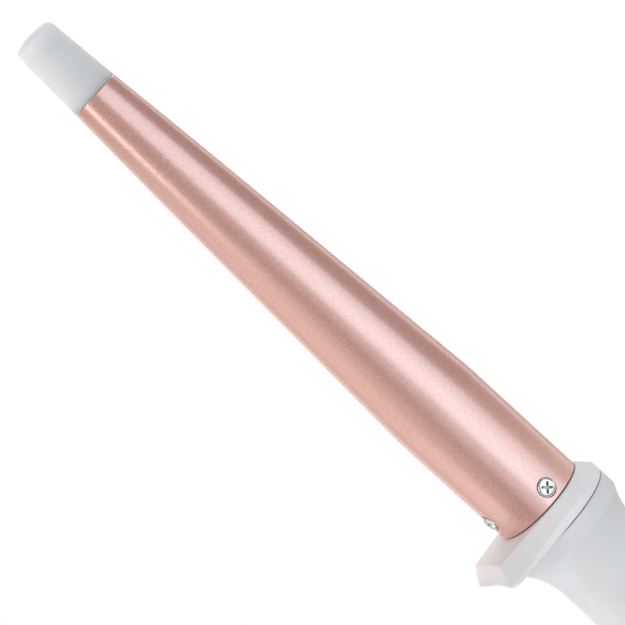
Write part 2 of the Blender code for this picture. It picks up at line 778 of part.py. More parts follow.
def make_tact_switch(name, x, material):
    """Square switch body with a square plunger under its button."""
    body_top = PART_BASE_Z + SWITCH_BODY_HEIGHT
    loops = []
    for z, half in (
        (PART_BASE_Z, SWITCH_HALF_WIDTH),
        (body_top, SWITCH_HALF_WIDTH),
        (body_top, SWITCH_PLUNGER_HALF_WIDTH),
        (SWITCH_TOP_Z, SWITCH_PLUNGER_HALF_WIDTH),
    ):
        loops.append([(x + a * half, b * half, z) for a, b in ((-1, -1), (1, -1), (1, 1), (-1, 1))])
    shape = bmesh.new()
    add_loops(shape, loops, closed=False)
    return make_object(name, shape, material)


def make_board(board_material, dark_material, capacitor_material, light_material):
    block(
        "control_board",
        (BOARD_FRONT_X, BOARD_REAR_X),
        (-BOARD_HALF_WIDTH, BOARD_HALF_WIDTH),
        (BOARD_BASE_Z, BOARD_TOP_Z),
        board_material,
    )
    for name, x in BUTTONS:
        make_tact_switch(name.replace("button", "tact_switch"), x, dark_material)
    special = {"film_capacitor": capacitor_material, "indicator_led": light_material}
    for name, front, rear, half, height in BOARD_BLOCKS:
        material = special.get(name, dark_material)
        block(name, (front, rear), (-half, half), (PART_BASE_Z, PART_BASE_Z + height), material)


def spreader_loop(x, radius, web_z, side):
    """Half-round loop above (side = 1) or below (side = -1) a flat web."""
    limit = math.acos(web_z / radius)
    loop = []
    for i in range(SPREADER_STEPS + 1):
        angle = limit * (2.0 * i / SPREADER_STEPS - 1.0)
        loop.append((x, radius * math.sin(angle), side * radius * math.cos(angle)))
    return loop


def make_spreader(name, side, web_z, material):
    """Hollow half-round aluminium shell that fits the inside of the barrel."""
    loops = []
    for x, inset in (
        (SPREADER_FRONT_X, 0.0),
        (SPREADER_REAR_X, 0.0),
        (SPREADER_REAR_X, SPREADER_WALL),
        (SPREADER_FRONT_X, SPREADER_WALL),
    ):
        radius = bore_radius_at(x) - GAP - inset
        loops.append(spreader_loop(x, radius, web_z + inset, side))
    shape = bmesh.new()
    add_loops(shape, loops, closed=True)
    return make_object(name, shape, material)


def make_heater_element(material):
    return block(
        "heater_element",
        (ELEMENT_FRONT_X, ELEMENT_REAR_X),
        (-ELEMENT_HALF_WIDTH, ELEMENT_HALF_WIDTH),
        (-ELEMENT_HALF_THICKNESS, ELEMENT_HALF_THICKNESS),
        material,
    )


def make_heater_insulation(material):
    """Flat film sleeve round the element, open at both ends."""
    loops = []
    front = ELEMENT_FRONT_X - FILM_OVERHANG
    rear = ELEMENT_REAR_X + FILM_OVERHANG
    for x, grow in (
        (front, FILM_GAP + FILM_THICKNESS),
        (rear, FILM_GAP + FILM_THICKNESS),
        (rear, FILM_GAP),
        (front, FILM_GAP),
    ):
        wide = ELEMENT_HALF_WIDTH + grow
        high = ELEMENT_HALF_THICKNESS + grow
        loops.append(rectangle(x, (-wide, wide), (-high, high)))
    shape = bmesh.new()
    add_loops(shape, loops, closed=True)
    return make_object("heater_insulation", shape, material)


def make_pressure_spring(material):
    """Waved leaf between the film sleeve and the lower spreader."""
    middle = -(UPPER_WEB_Z + LOWER_WEB_Z) / 2.0
    swing = (LOWER_WEB_Z - UPPER_WEB_Z) / 2.0 - SPRING_THICKNESS
    loops = []
    for i in range(SPRING_STEPS + 1):
        t = i / SPRING_STEPS
        x = SPRING_FRONT_X + (SPRING_REAR_X - SPRING_FRONT_X) * t
        z = middle + swing * math.cos(2.0 * math.pi * SPRING_WAVES * t)
        half = SPRING_THICKNESS / 2.0
        loops.append(rectangle(x, (-SPRING_HALF_WIDTH, SPRING_HALF_WIDTH), (z - half, z + half)))
    shape = bmesh.new()
    add_loops(shape, loops, closed=False)
    return make_object("pressure_spring", shape, material)


def make_capsule(name, centre, radius, length, material):
    """Short sealed cylinder with rounded ends, along the wand's axis."""
    half = length / 2.0
    ends = radius * 0.6
    profile = ((-half, radius * 0.5), (-half + ends, radius), (half - ends, radius), (half, radius * 0.5))
    capsule = rod(name, profile, material, SMALL_SIDES, "X")
    capsule.location = centre
    return capsule


def make_lead(name, points, material):
    """Insulated wire along a smooth route."""
    curve = bpy.data.curves.new(name, "CURVE")
    curve.dimensions = "3D"
    curve.bevel_depth = LEAD_RADIUS
    curve.bevel_resolution = 1
    curve.use_fill_caps = True
    curve.resolution_u = 4
    spline = curve.splines.new("NURBS")
    spline.points.add(len(points) - 1)
    for slot, point in zip(spline.points, points):
        slot.co = (*point, 1.0)
    spline.use_endpoint_u = True
    spline.order_u = 3
    spline.resolution_u = 4
    curve.materials.append(material)
    lead = bpy.data.objects.new(name, curve)
    bpy.context.scene.collection.objects.link(lead)
    return lead


def make_heater(aluminium, ceramic, film, spring_steel, sensor, fuse):
    make_spreader("heat_spreader_upper", 1.0, UPPER_WEB_Z, aluminium)
    make_spreader("heat_spreader_lower", -1.0, LOWER_WEB_Z, aluminium)
    make_heater_element(ceramic)
    make_heater_insulation(film)
    make_pressure_spring(spring_steel)
    make_capsule("thermistor", THERMISTOR_PLACE, THERMISTOR_RADIUS, THERMISTOR_LENGTH, sensor)
    make_capsule("thermal_fuse", FUSE_PLACE, FUSE_RADIUS, FUSE_LENGTH, fuse)


def lowest_and_middle():
    """Lowest height of all pieces, and the middle of their length, at the wand's present angle."""
    bpy.context.view_layer.update()
    low = math.inf
    front = math.inf
    rear = -math.inf
    graph = bpy.context.evaluated_depsgraph_get()
    for item in bpy.data.objects:
        if item.type not in {"MESH", "CURVE"}:
            continue
        mesh = item.evaluated_get(graph).to_mesh()
        for vertex in mesh.vertices:
            spot = item.matrix_world @ vertex.co
            low = min(low, spot.z)
            front = min(front, spot.x)
            rear = max(rear, spot.x)
        item.evaluated_get(graph).to_mesh_clear()
    return low, (front + rear) / 2.0


def lay_on_table():
    """Parent the pieces to one empty, tilt it to the rest angle and centre the wand over the origin."""
    wand = bpy.data.objects.new("wand_frame", None)
    bpy.context.scene.collection.objects.link(wand)
    for item in list(bpy.data.objects):
        if item is not wand and item.parent is None:
            item.parent = wand
    wand.rotation_euler = (0.0, math.atan(REST_SLOPE), 0.0)
    low, middle = lowest_and_middle()
    wand.location = (-middle, 0.0, -low)
    return wand


def shade():
    for item in bpy.data.objects:
        if item.type == "MESH":
            item.data.shade_smooth()
            item.data.set_sharp_from_angle(angle=math.radians(35.0))


def main():
    clear_scene()
    rose_gold = make_material("rose_gold_coating", (0.72, 0.42, 0.34), 0.38, 0.9)
    tip_plastic = make_material("tip_plastic", (0.75, 0.75, 0.75), 0.55)
    collar_plastic = make_material("collar_plastic", (0.66, 0.64, 0.63), 0.5)
    handle_plastic = make_material("handle_plastic", (0.72, 0.72, 0.73), 0.5)
    cap_plastic = make_material("cap_plastic", (0.68, 0.68, 0.69), 0.5)
    nickel = make_material("nickel_plated_steel", (0.8, 0.79, 0.77), 0.25, 1.0)
    holder_plastic = make_material("holder_plastic", (0.08, 0.08, 0.085), 0.6)
    tray_plastic = make_material("tray_plastic", (0.5, 0.5, 0.5), 0.6)
    panel_plastic = make_material("panel_plastic", (0.42, 0.25, 0.21), 0.3, 0.6)
    button_plastic = make_material("button_plastic", (0.74, 0.74, 0.75), 0.4)
    lens_plastic = make_material("lens_plastic", (0.75, 0.2, 0.12), 0.2)
    swivel_plastic = make_material("swivel_plastic", (0.62, 0.62, 0.63), 0.55)
    brass = make_material("contact_brass", (0.78, 0.58, 0.28), 0.3, 1.0)
    aluminium = make_material("bare_aluminium", (0.8, 0.8, 0.81), 0.4, 1.0)
    ceramic = make_material("heater_ceramic", (0.85, 0.83, 0.78), 0.5)
    film = make_material("insulating_film", (0.7, 0.42, 0.08), 0.3)
    spring_steel = make_material("spring_steel", (0.6, 0.6, 0.61), 0.35, 1.0)
    glass_bead = make_material("sensor_sleeve", (0.55, 0.5, 0.42), 0.4)
    fuse_can = make_material("fuse_can", (0.7, 0.68, 0.64), 0.35, 0.9)
    board_green = make_material("board_laminate", (0.04, 0.22, 0.09), 0.45)
    black_moulding = make_material("component_moulding", (0.03, 0.03, 0.033), 0.5)
    capacitor_yellow = make_material("capacitor_case", (0.75, 0.55, 0.1), 0.45)
    led_resin = make_material("led_resin", (0.8, 0.75, 0.7), 0.25)
    red_silicone = make_material("line_wire_sleeve", (0.55, 0.08, 0.06), 0.6)
    white_silicone = make_material("neutral_wire_sleeve", (0.75, 0.75, 0.72), 0.6)
    black_silicone = make_material("sensor_wire_sleeve", (0.05, 0.05, 0.05), 0.6)

    make_barrel(rose_gold)
    make_cool_tip(tip_plastic)
    screw_mesh = make_screw_mesh(nickel)
    for name, x, degrees, roll in BARREL_SCREWS:
        place_screw(name, screw_mesh, x, degrees, BARREL_RADIUS - SEAT_DEPTH, roll)
    for name, degrees in CAP_SCREWS:
        place_screw(name, screw_mesh, CAP_SCREW_X, degrees, CAP_SCREW_SEAT, CAP_SCREW_ROLL)
    make_holder(holder_plastic)
    make_collar(collar_plastic)
    make_handle_sleeve(handle_plastic)
    make_control_panel(panel_plastic)
    for name, x in BUTTONS:
        make_button(name, x, button_plastic)
    make_indicator_lens(lens_plastic)
    make_rear_cap(cap_plastic)
    swivel = make_cord_swivel(swivel_plastic)
    make_contact_rings(brass, swivel)
    make_brushes(brass)
    make_chassis_tray(tray_plastic)
    make_board(board_green, black_moulding, capacitor_yellow, led_resin)
    make_heater(aluminium, ceramic, film, spring_steel, glass_bead, fuse_can)
    for (name, route), material in zip(LEAD_ROUTES.items(), (red_silicone, white_silicone, black_silicone)):
        make_lead(name, route, material)
    lay_on_table()
    shade()


main()
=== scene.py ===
"""Curling wand resting on its foot: fine surfaces and finishes, with a floor, lights and a camera."""

import json
import math

import bmesh
import bpy
from mathutils import Matrix, Vector


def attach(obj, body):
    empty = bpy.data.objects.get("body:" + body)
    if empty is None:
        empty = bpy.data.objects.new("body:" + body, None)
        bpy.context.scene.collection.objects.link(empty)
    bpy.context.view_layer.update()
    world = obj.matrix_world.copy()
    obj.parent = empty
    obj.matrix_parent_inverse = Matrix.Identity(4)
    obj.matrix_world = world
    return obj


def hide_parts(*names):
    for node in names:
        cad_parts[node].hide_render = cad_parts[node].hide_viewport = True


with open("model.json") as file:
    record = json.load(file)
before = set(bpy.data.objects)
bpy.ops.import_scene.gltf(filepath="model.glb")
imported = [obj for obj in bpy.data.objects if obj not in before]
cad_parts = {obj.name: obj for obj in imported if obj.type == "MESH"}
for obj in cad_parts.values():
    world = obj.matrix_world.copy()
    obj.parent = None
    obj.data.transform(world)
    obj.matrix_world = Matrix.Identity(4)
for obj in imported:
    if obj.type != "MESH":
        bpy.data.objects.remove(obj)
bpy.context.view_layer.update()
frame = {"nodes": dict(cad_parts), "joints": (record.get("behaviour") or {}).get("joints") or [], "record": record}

# The wand's own frame: X = 0 is the collar's front face, +X runs to the cord inlet, -Z to the foot
SWIVEL_JOINT = next(joint for joint in frame["joints"] if joint["name"] == "cord_swivel_turn")
SWIVEL_X = 0.150
WAND_AXIS = Vector(SWIVEL_JOINT["axis"]).normalized()
WAND_SIDE = Vector((0.0, 1.0, 0.0))
WAND_UP = WAND_AXIS.cross(WAND_SIDE)
WAND_ORIGIN = Vector(SWIVEL_JOINT["pos_m"]) - WAND_AXIS * SWIVEL_X
WAND = Matrix.Translation(WAND_ORIGIN) @ Matrix((WAND_AXIS, WAND_SIDE, WAND_UP)).transposed().to_4x4()

ROUND = 144
FINE_ROUND = 64
SMALL_ROUND = 96
GAP = 0.0003
EDGE_RADIUS = 0.00025

BARREL_RADIUS = 0.0125
BARREL_TIP_RADIUS = 0.0066
BARREL_BULGE = 0.00016
CONE_STEPS = 28
BARREL_TIP_X = -0.1455
CONE_END_X = -0.0355
BARREL_WALL = 0.0009
# The straight cylinder's wall is split here, in front of the screws and next to the rear edge
BARREL_SCREW_BAND_X = -0.011
BARREL_RIM_X = -0.0011

COOL_TIP_END_X = BARREL_TIP_X - 0.0202
COOL_TIP_END_RADIUS = 0.0057
COOL_TIP_ROUNDING = 0.0017
COOL_TIP_CROWN = 0.0004
COOL_TIP_WALL = 0.0028
COOL_TIP_SEAM = 0.00006
COOL_TIP_SEAM_CHAMFER = 0.00012
COOL_TIP_SPIGOT_LENGTH = 0.008
COOL_TIP_SPIGOT_WALL = 0.0014

SCREW_HEAD_RADIUS = 0.0023
SCREW_HEAD_HEIGHT = 0.00095
SCREW_SHANK_RADIUS = 0.00095
SCREW_LENGTH = 0.0029
SCREW_RIM_CHAMFER = 0.00008
# The upright side as a share of the head's height; the flat and its innermost ring as shares of its radius
SCREW_SIDE = 0.42
SCREW_FLAT = 0.45
SCREW_MIDDLE = 0.2
# The cross: arm reach and half width as shares of the head's radius, and its inner corners in half widths;
# then its floor and its mouth, each as a share of the head's height and a scale of the reach
CROSS_REACH = 0.74
CROSS_HALF_WIDTH = 0.135
CROSS_CORNER = 1.2
CROSS_SECTIONS = ((0.28, 0.5), (1.25, 1.12))
# Where painted shade darkens the cross recess: shares of the head's radius and of its height, from none to full
RECESS_PAINTED_SHADE_EDGE = (0.78, 0.7)
RECESS_PAINTED_SHADE_SINK = (0.86, 0.6)
SEAT_RADIUS = 0.0025
SEAT_DEPTH = 0.00045
SEAT_LIP = 0.00012
SEAT_CUT_DEPTH = 0.0045
SEAT_CUT_RISE = 0.002
SEAT_CUT_FLARE = 0.0012
# Where painted shade darkens the barrel's colour in a seat: depth below its skin and place along it, from none to
# full
SEAT_PAINTED_SHADE_DEPTH = (0.00005, 0.0003)
SEAT_PAINTED_SHADE_X = (-0.012, BARREL_SCREW_BAND_X)
CLEARANCE_HOLE_RADIUS = 0.00125
SCREW_LIFT = 0.00005
# Node, place along the wand, degrees round it from the foot, and how far the cross is turned
BARREL_SCREWS = (
    ("barrel_screw_bottom", -0.006, 0.0, 0.2),
    ("barrel_screw_near_side", -0.0039, 92.4, 0.75),
    ("barrel_screw_far_side", -0.0039, 267.6, -0.3),
)
CAP_SCREW_X = 0.143
CAP_SCREW_SEAT = 0.0124
CAP_SCREWS = (("cap_screw_near_side", 90.0), ("cap_screw_far_side", 270.0))
CAP_SCREW_TURN = 0.4

COLLAR_LENGTH = 0.0055
COLLAR_RADIUS = 0.0157
COLLAR_FRONT_RADIUS = 0.0129
COLLAR_CHAMFER = 0.0034
COLLAR_BORE_RADIUS = 0.01175
FOOT_CHAMFER = 0.0047
FOOT_DEPTH = 0.0231
FOOT_FRONT_DEPTH = 0.0207
FOOT_HALF_WIDTH = 0.0142
FOOT_FRONT_HALF_WIDTH = 0.0093
FOOT_CORNER = 0.0025
FOOT_FRONT_CORNER = 0.0007
FOOT_ARCH = 0.0006
FOOT_LAND = 0.003
FOOT_BLEND_START = 0.005
FOOT_BLEND_LENGTH = 0.015
COLLAR_EDGE = 0.00035

HANDLE_FRONT_X = COLLAR_LENGTH + 0.00025
BAND_END_X = 0.0102
GRIP_FRONT_RADIUS = 0.01285
GRIP_REAR_RADIUS = 0.0132
HANDLE_BORE_RADIUS = 0.0106
HANDLE_END_X = 0.1471
BELL_END_X = 0.0205
BELL_CURVE = 2.2
BELL_STEPS = 22
# Place along the wand and radius
GRIP_PROFILE = ((0.032, 0.01290), (0.045, 0.01295), (0.070, 0.01300), (0.095, 0.01305), (0.138, 0.01317))
FLANGE_RECESS_RADIUS = 0.01425
FLANGE_RECESS_END_X = 0.0082

CAP_X = 0.1474
CAP_RADIUS = 0.0135
CAP_END_X = 0.1615
CAP_ROUND_X = 0.1575
CAP_SPIGOT_X = 0.1395
CAP_CAVITY_RADIUS = 0.009
CAP_SHOULDER_X = 0.150
CAP_END_RADIUS = 0.0102
CAP_ROUND_DEGREES = 80.0
REST_SLOPE = -WAND_AXIS.z / WAND_AXIS.x

SWIVEL_FRONT_X = 0.126
SWIVEL_SPOOL_RADIUS = 0.0046
SWIVEL_FLANGE_RADIUS = 0.0087
SWIVEL_NECK_RADIUS = 0.007
SWIVEL_END_X = 0.1735
CORD_BORE_RADIUS = 0.0038
WIRE_BORE_RADIUS = 0.003
SWIVEL_PLAY = 0.0001
SWIVEL_EDGE = 0.0002
SWIVEL_COLLAR_LENGTH = 0.0006
SWIVEL_NOSE_TAPER = 0.0012
SWIVEL_NOSE_LENGTH = 0.0105
SWIVEL_NOSE_RADIUS = 0.0058
SWIVEL_MOUTH_RADIUS = 0.0050
SWIVEL_MOUTH_LENGTH = 0.0012
GROOVE_COUNT = 3
GROOVE_FRONT = 0.0022
GROOVE_PITCH = 0.0026
GROOVE_DEPTH = 0.0004
GROOVE_WIDTH = 0.0011
GROOVE_SLOPE = 0.0002

PANEL_FRONT_X = 0.044
PANEL_REAR_X = 0.097
PANEL_HALF_WIDTH = 0.0055
PANEL_RADIUS = 0.01315
PANEL_FLOOR_Z = 0.0117
PANEL_LIFT = 0.0001
PANEL_EDGE = 0.00012
PANEL_CURVE_X = (0.04, 0.101)
POCKET_GAP = 0.00015
CONTROL_CUT_Z = (0.007, 0.016)
BUTTONS = (("plus_button", 0.060), ("minus_button", 0.072), ("power_button", 0.087))
BUTTON_RADIUS = 0.0035
BUTTON_HOLE_RADIUS = 0.0037
BUTTON_FLANGE_RADIUS = 0.0044
BUTTON_FLANGE_HEIGHT = 0.0009
BUTTON_BASE_Z = 0.0085
BUTTON_EDGE_Z = 0.0134
BUTTON_TOP_Z = 0.0138
BUTTON_EDGE = 0.0005
BUTTON_DISH = 0.00018
BUTTON_MARK_DROP = 0.00003
# Half length along the wand and half width across it of the raised bars in each button's dish
BUTTON_MARKS = {
    "plus_button": ((0.0012, 0.0002), (0.0002, 0.0012)),
    "minus_button": ((0.0002, 0.0012),),
    "power_button": ((0.0006, 0.0006),),
}
LENS_X = 0.0505
LENS_RADIUS = 0.0014
LENS_HOLE_RADIUS = 0.0016
LENS_BASE_Z = 0.0083
LENS_EDGE = 0.0001
# The window's slight crown: share of its radius, and height above the panel
LENS_CROWN = ((0.9, 0.00005), (0.5, 0.0001), (0.0, 0.0001))

# The camera looks at this point, in the wand's own frame, from this far and from this side
VIEW_TARGET = Vector((-0.07126, 0.00945, -0.00109))
VIEW_DISTANCE = 0.5824
VIEW_BACK = Vector((-0.12412, -0.96306, -0.23896))
VIEW_ROLL = math.radians(-40.63)
VIEW_LENS = 137.55
SENSOR_WIDTH = 36.0
NEAREST_SEEN = 0.01

FLOOR_HALF_SIZE = 3.0
FLOOR_Z = -0.00002
FLOOR_TONE = 0.94
FLOOR_TONE_SPREAD = 0.01
FLOOR_GRAIN_SCALE = 400.0
FLOOR_ROUGHNESS = 0.7
FLOOR_FADE_START = 0.2
FLOOR_FADE_END = 0.62

WORLD_LIGHT = 0.285
# Tints of the soft boxes
COOL_WHITE = (0.875, 1.01, 1.12)
WARM_WHITE = (1.04, 1.03, 0.99)
ROSE_WHITE = (1.1, 1.03, 0.98)
# Soft boxes round the wand: name, degrees round its axis from level on the near side (up is positive),
# place along the wand, place it is aimed at, distance from the axis, length, width, power in watts, tint
SOFT_BOXES = (
    ("key_long", 15.0, 0.0, 0.0, 0.6, 0.9, 0.5, 1.48, COOL_WHITE),
    ("key_core", 0.0, 0.05, 0.05, 0.6, 0.3, 0.69, 0.27, COOL_WHITE),
    ("key_upper", 45.0, 0.0, 0.0, 0.6, 0.9, 0.16, 0.45, COOL_WHITE),
    ("handle_fill", -15.0, 0.3, 0.3, 0.6, 0.3, 0.5, 0.32, COOL_WHITE),
    ("top_rear", 82.5, 0.3, 0.3, 0.6, 0.3, 0.69, 0.47, ROSE_WHITE),
    ("top_strip", 120.0, 0.0, 0.0, 0.6, 0.9, 0.16, 0.40, ROSE_WHITE),
    ("under_box", -105.0, 0.15, 0.15, 0.6, 0.6, 0.5, 0.50, WARM_WHITE),
    ("under_tip", -75.0, -0.3, -0.3, 0.6, 0.3, 0.16, 0.36, WARM_WHITE),
    ("under_core", -67.5, 0.0, 0.0, 0.6, 0.3, 0.32, 0.07, WARM_WHITE),
    ("under_far", -140.0, 0.0, 0.0, 0.6, 0.9, 0.32, 0.27, WARM_WHITE),
    ("far_soft", 175.0, 0.0, 0.0, 0.7, 0.9, 0.9, 1.70, ROSE_WHITE),
    ("front_low", -75.0, -0.5, 0.0, 0.52, 0.35, 0.35, 0.63, WARM_WHITE),
    ("front_high", 105.0, -0.5857, 0.0, 0.4685, 0.35, 0.35, 0.30, ROSE_WHITE),
    ("tip_far", 140.0, -0.42, -0.15, 0.45, 0.3, 0.3, 1.05, COOL_WHITE),
    ("handle_low", -105.0, 0.4, 0.02, 0.5, 0.35, 0.35, 1.40, COOL_WHITE),
    ("rear_low", -75.0, 0.5857, 0.0, 0.4685, 0.35, 0.35, 0.15, WARM_WHITE),
)


# ---------------------------------------------------------------- meshes


def rounded(profile, radius, steps=4):
    """The (along, radius) outline with each marked corner replaced by an arc; a mark is a third value."""
    points = []
    count = len(profile)
    for i, item in enumerate(profile):
        here = Vector(item[:2])
        if len(item) < 3:
            points.append(tuple(here))
            continue
        size = radius * item[2]
        before = Vector(profile[(i - 1) % count][:2]) - here
        after = Vector(profile[(i + 1) % count][:2]) - here
        start = here + before.normalized() * size
        end = here + after.normalized() * size
        for k in range(steps + 1):
            t = k / steps
            points.append(tuple(start * (1.0 - t) ** 2 + here * 2.0 * t * (1.0 - t) + end * t * t))
    return points


def bridge(shape, ring, following):
    count = max(len(ring), len(following))
    if count == 1:
        return
    for i in range(count):
        j = (i + 1) % count
        corners = [
            ring[i % len(ring)],
            ring[j % len(ring)],
            following[j % len(following)],
            following[i % len(following)],
        ]
        shape.faces.new(list(dict.fromkeys(corners)))


def add_loops(shape, loops, closed):
    rings = [[shape.verts.new(point) for point in loop] for loop in loops]
    for ring, following in zip(rings, rings[1:]):
        bridge(shape, ring, following)
    if closed:
        bridge(shape, rings[-1], rings[0])
        return
    for ring in (rings[0], rings[-1]):
        if len(ring) > 2:
            shape.faces.new(ring)


def turned_loops(profile, sides, axis):
    loops = []
    for along, radius in profile:
        if radius == 0.0:
            loops.append([(along, 0.0, 0.0) if axis == "X" else (0.0, 0.0, along)])
            continue
        loop = []
        for i in range(sides):
            angle = 2.0 * math.pi * i / sides
            across = radius * math.sin(angle)
            up = -radius * math.cos(angle)
            loop.append((along, across, up) if axis == "X" else (across, up, along))
        loops.append(loop)
    return loops


def new_object(name, shape, place=None):
    bmesh.ops.recalc_face_normals(shape, faces=shape.faces)
    mesh = bpy.data.meshes.new(name)
    shape.to_mesh(mesh)
    shape.free()
    item = bpy.data.objects.new(name, mesh)
    bpy.context.scene.collection.objects.link(item)
    item.matrix_world = WAND if place is None else WAND @ place
    return item


def turned(name, profile, sides=ROUND, axis="X", solid=False, place=None):
    shape = bmesh.new()
    tube = not solid and all(radius > 0.0 for _, radius in profile)
    add_loops(shape, turned_loops(profile, sides, axis), closed=tube)
    return new_object(name, shape, place)


def carve(target, tool, operation="DIFFERENCE"):
    """Apply a Boolean with the tool, which is used up."""
    modifier = target.modifiers.new("carve", "BOOLEAN")
    modifier.operation = operation
    modifier.solver = "EXACT"
    modifier.object = tool
    bpy.context.view_layer.update()
    graph = bpy.context.evaluated_depsgraph_get()
    carved = bpy.data.meshes.new_from_object(target.evaluated_get(graph))
    plain = target.data
    target.modifiers.clear()
    target.data = carved
    bpy.data.meshes.remove(plain)
    bpy.data.objects.remove(tool, do_unlink=True)


def smooth(item, degrees=32.0):
    item.data.shade_smooth()
    item.data.set_sharp_from_angle(angle=math.radians(degrees))
    return item


def finish_piece(item, materials, body, node, slot):
    """Give a fine piece the material of its slot and tie it to the node it stands for."""
    item.data.materials.clear()
    item.data.materials.append(materials[slot])
    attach(item, body)
    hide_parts(node)


def squared_up(item):
    """Move a long piece's slope into its mesh, so that its box is measured square to the table."""
    item.data.transform(item.matrix_world)
    item.matrix_world = Matrix.Identity(4)
    return item


def radial_place(x, degrees, radius):
    """Matrix that stands a shape's +Z outwards at an angle round the wand, counted from the foot."""
    angle = math.radians(degrees)
    outwards = Vector((0.0, -math.sin(angle), -math.cos(angle)))
    spot = Vector((x, 0.0, 0.0)) + outwards * radius
    return Matrix.Translation(spot) @ Matrix.Rotation(math.pi - angle, 4, "X")


def seat_tool(x, degrees, seat, surface):
    """Stepped cutter for one screw seat, flared a little where it meets the surface."""
    top = surface - seat
    profile = [
        (-SEAT_CUT_DEPTH, CLEARANCE_HOLE_RADIUS),
        (0.0, CLEARANCE_HOLE_RADIUS),
        (0.0, SEAT_RADIUS),
        (top - 2.0 * SEAT_LIP, SEAT_RADIUS),
        (top, SEAT_RADIUS + SEAT_LIP),
        (top + SEAT_CUT_RISE, SEAT_RADIUS + SEAT_CUT_FLARE),
    ]
    return turned("seat_tool", profile, FINE_ROUND, "Z", True, radial_place(x, degrees, seat))


def cone_point(t):
    """Outer (x, radius) of the barrel's cone; t runs from 0 at its tip end to 1 at the cylinder."""
    x = BARREL_TIP_X + (CONE_END_X - BARREL_TIP_X) * t
    straight = BARREL_TIP_RADIUS + (BARREL_RADIUS - BARREL_TIP_RADIUS) * t
    return x, straight + BARREL_BULGE * math.sin(math.pi * (1.0 - t) ** 2)


def barrel_shape():
    inner = BARREL_RADIUS - BARREL_WALL
    tip_inner = BARREL_TIP_RADIUS - BARREL_WALL
    outline = rounded(
        [
            (BARREL_TIP_X, BARREL_TIP_RADIUS, 0.7),
            *[cone_point(i / CONE_STEPS) for i in range(1, CONE_STEPS)],
            (CONE_END_X, BARREL_RADIUS, 8.0),
            (BARREL_SCREW_BAND_X, BARREL_RADIUS),
            (BARREL_RIM_X, BARREL_RADIUS),
            (-GAP, BARREL_RADIUS, 0.8),
            (-GAP, inner),
            (CONE_END_X, inner),
            (BARREL_TIP_X, tip_inner),
        ],
        EDGE_RADIUS,
        6,
    )
    barrel = turned("barrel_shell", outline)
    for _, x, degrees, _ in BARREL_SCREWS:
        carve(barrel, seat_tool(x, degrees, BARREL_RADIUS - SEAT_DEPTH, BARREL_RADIUS))
    return smooth(barrel)


def cool_tip_shape():
    crown_steps, round_steps = 6, 12
    seam = BARREL_TIP_X - COOL_TIP_SEAM
    spigot = BARREL_TIP_RADIUS - BARREL_WALL - GAP
    spigot_end = BARREL_TIP_X + COOL_TIP_SPIGOT_LENGTH
    hollow_end = COOL_TIP_END_X + COOL_TIP_WALL
    flat = COOL_TIP_END_RADIUS - COOL_TIP_ROUNDING
    profile = [(COOL_TIP_END_X - COOL_TIP_CROWN, 0.0)]
    for i in range(1, crown_steps):
        t = i / crown_steps
        profile.append((COOL_TIP_END_X - COOL_TIP_CROWN * (1.0 - t * t), flat * t))
    for i in range(round_steps + 1):
        angle = math.radians(90.0 * i / round_steps)
        along = COOL_TIP_END_X + COOL_TIP_ROUNDING * (1.0 - math.cos(angle))
        profile.append((along, flat + COOL_TIP_ROUNDING * math.sin(angle)))
    profile += [
        (seam - COOL_TIP_SEAM_CHAMFER, BARREL_TIP_RADIUS),
        (seam, BARREL_TIP_RADIUS - COOL_TIP_SEAM_CHAMFER),
        (seam, spigot),
        (spigot_end, spigot),
        (spigot_end, spigot - COOL_TIP_SPIGOT_WALL),
        (seam, spigot - COOL_TIP_SPIGOT_WALL),
        (hollow_end, COOL_TIP_END_RADIUS - COOL_TIP_WALL),
        (hollow_end, 0.0),
    ]
    return smooth(turned("cool_tip_shell", profile))


def recess_tool(place):
    """Cross-shaped cutter that narrows inwards."""
    half_arm = SCREW_HEAD_RADIUS * CROSS_HALF_WIDTH
    corner = half_arm * CROSS_CORNER
    shape = bmesh.new()
    loops = []
    for height, size in CROSS_SECTIONS:
        arm = SCREW_HEAD_RADIUS * CROSS_REACH * size
        loop = []
        for quarter in range(4):
            turn = Matrix.Rotation(quarter * math.pi / 2.0, 3, "Z")
            for x, y in ((corner, corner), (arm, half_arm), (arm, -half_arm)):
                loop.append(turn @ Vector((x, y, SCREW_HEAD_HEIGHT * height)))
        loops.append(sorted(loop, key=lambda point: math.atan2(point.y, point.x)))
    add_loops(shape, loops, closed=False)
    return new_object("recess_tool", shape, place)


def screw_shape(name, place):
    """Pan head with a domed top and a cross recess."""
    steps = 9
    head = SCREW_HEAD_HEIGHT
    rim = SCREW_HEAD_RADIUS
    shank = SCREW_SHANK_RADIUS
    profile = [
        (-SCREW_LENGTH, shank * 0.5),
        (-SCREW_LENGTH + shank * 0.5, shank),
        (0.0, shank),
        (0.0, rim - SCREW_RIM_CHAMFER),
        (SCREW_RIM_CHAMFER, rim),
        (head * SCREW_SIDE, rim),
    ]
    for i in range(1, steps):
        angle = math.radians(90.0 * i / steps)
        height = SCREW_SIDE + (1.0 - SCREW_SIDE) * math.sin(angle)
        profile.append((head * height, rim * (SCREW_FLAT + (1.0 - SCREW_FLAT) * math.cos(angle))))
    profile.append((head, rim * SCREW_MIDDLE))
    screw = turned(name, profile, FINE_ROUND, "Z", True, place)
    carve(screw, recess_tool(place))
    return smooth(screw, 28.0)


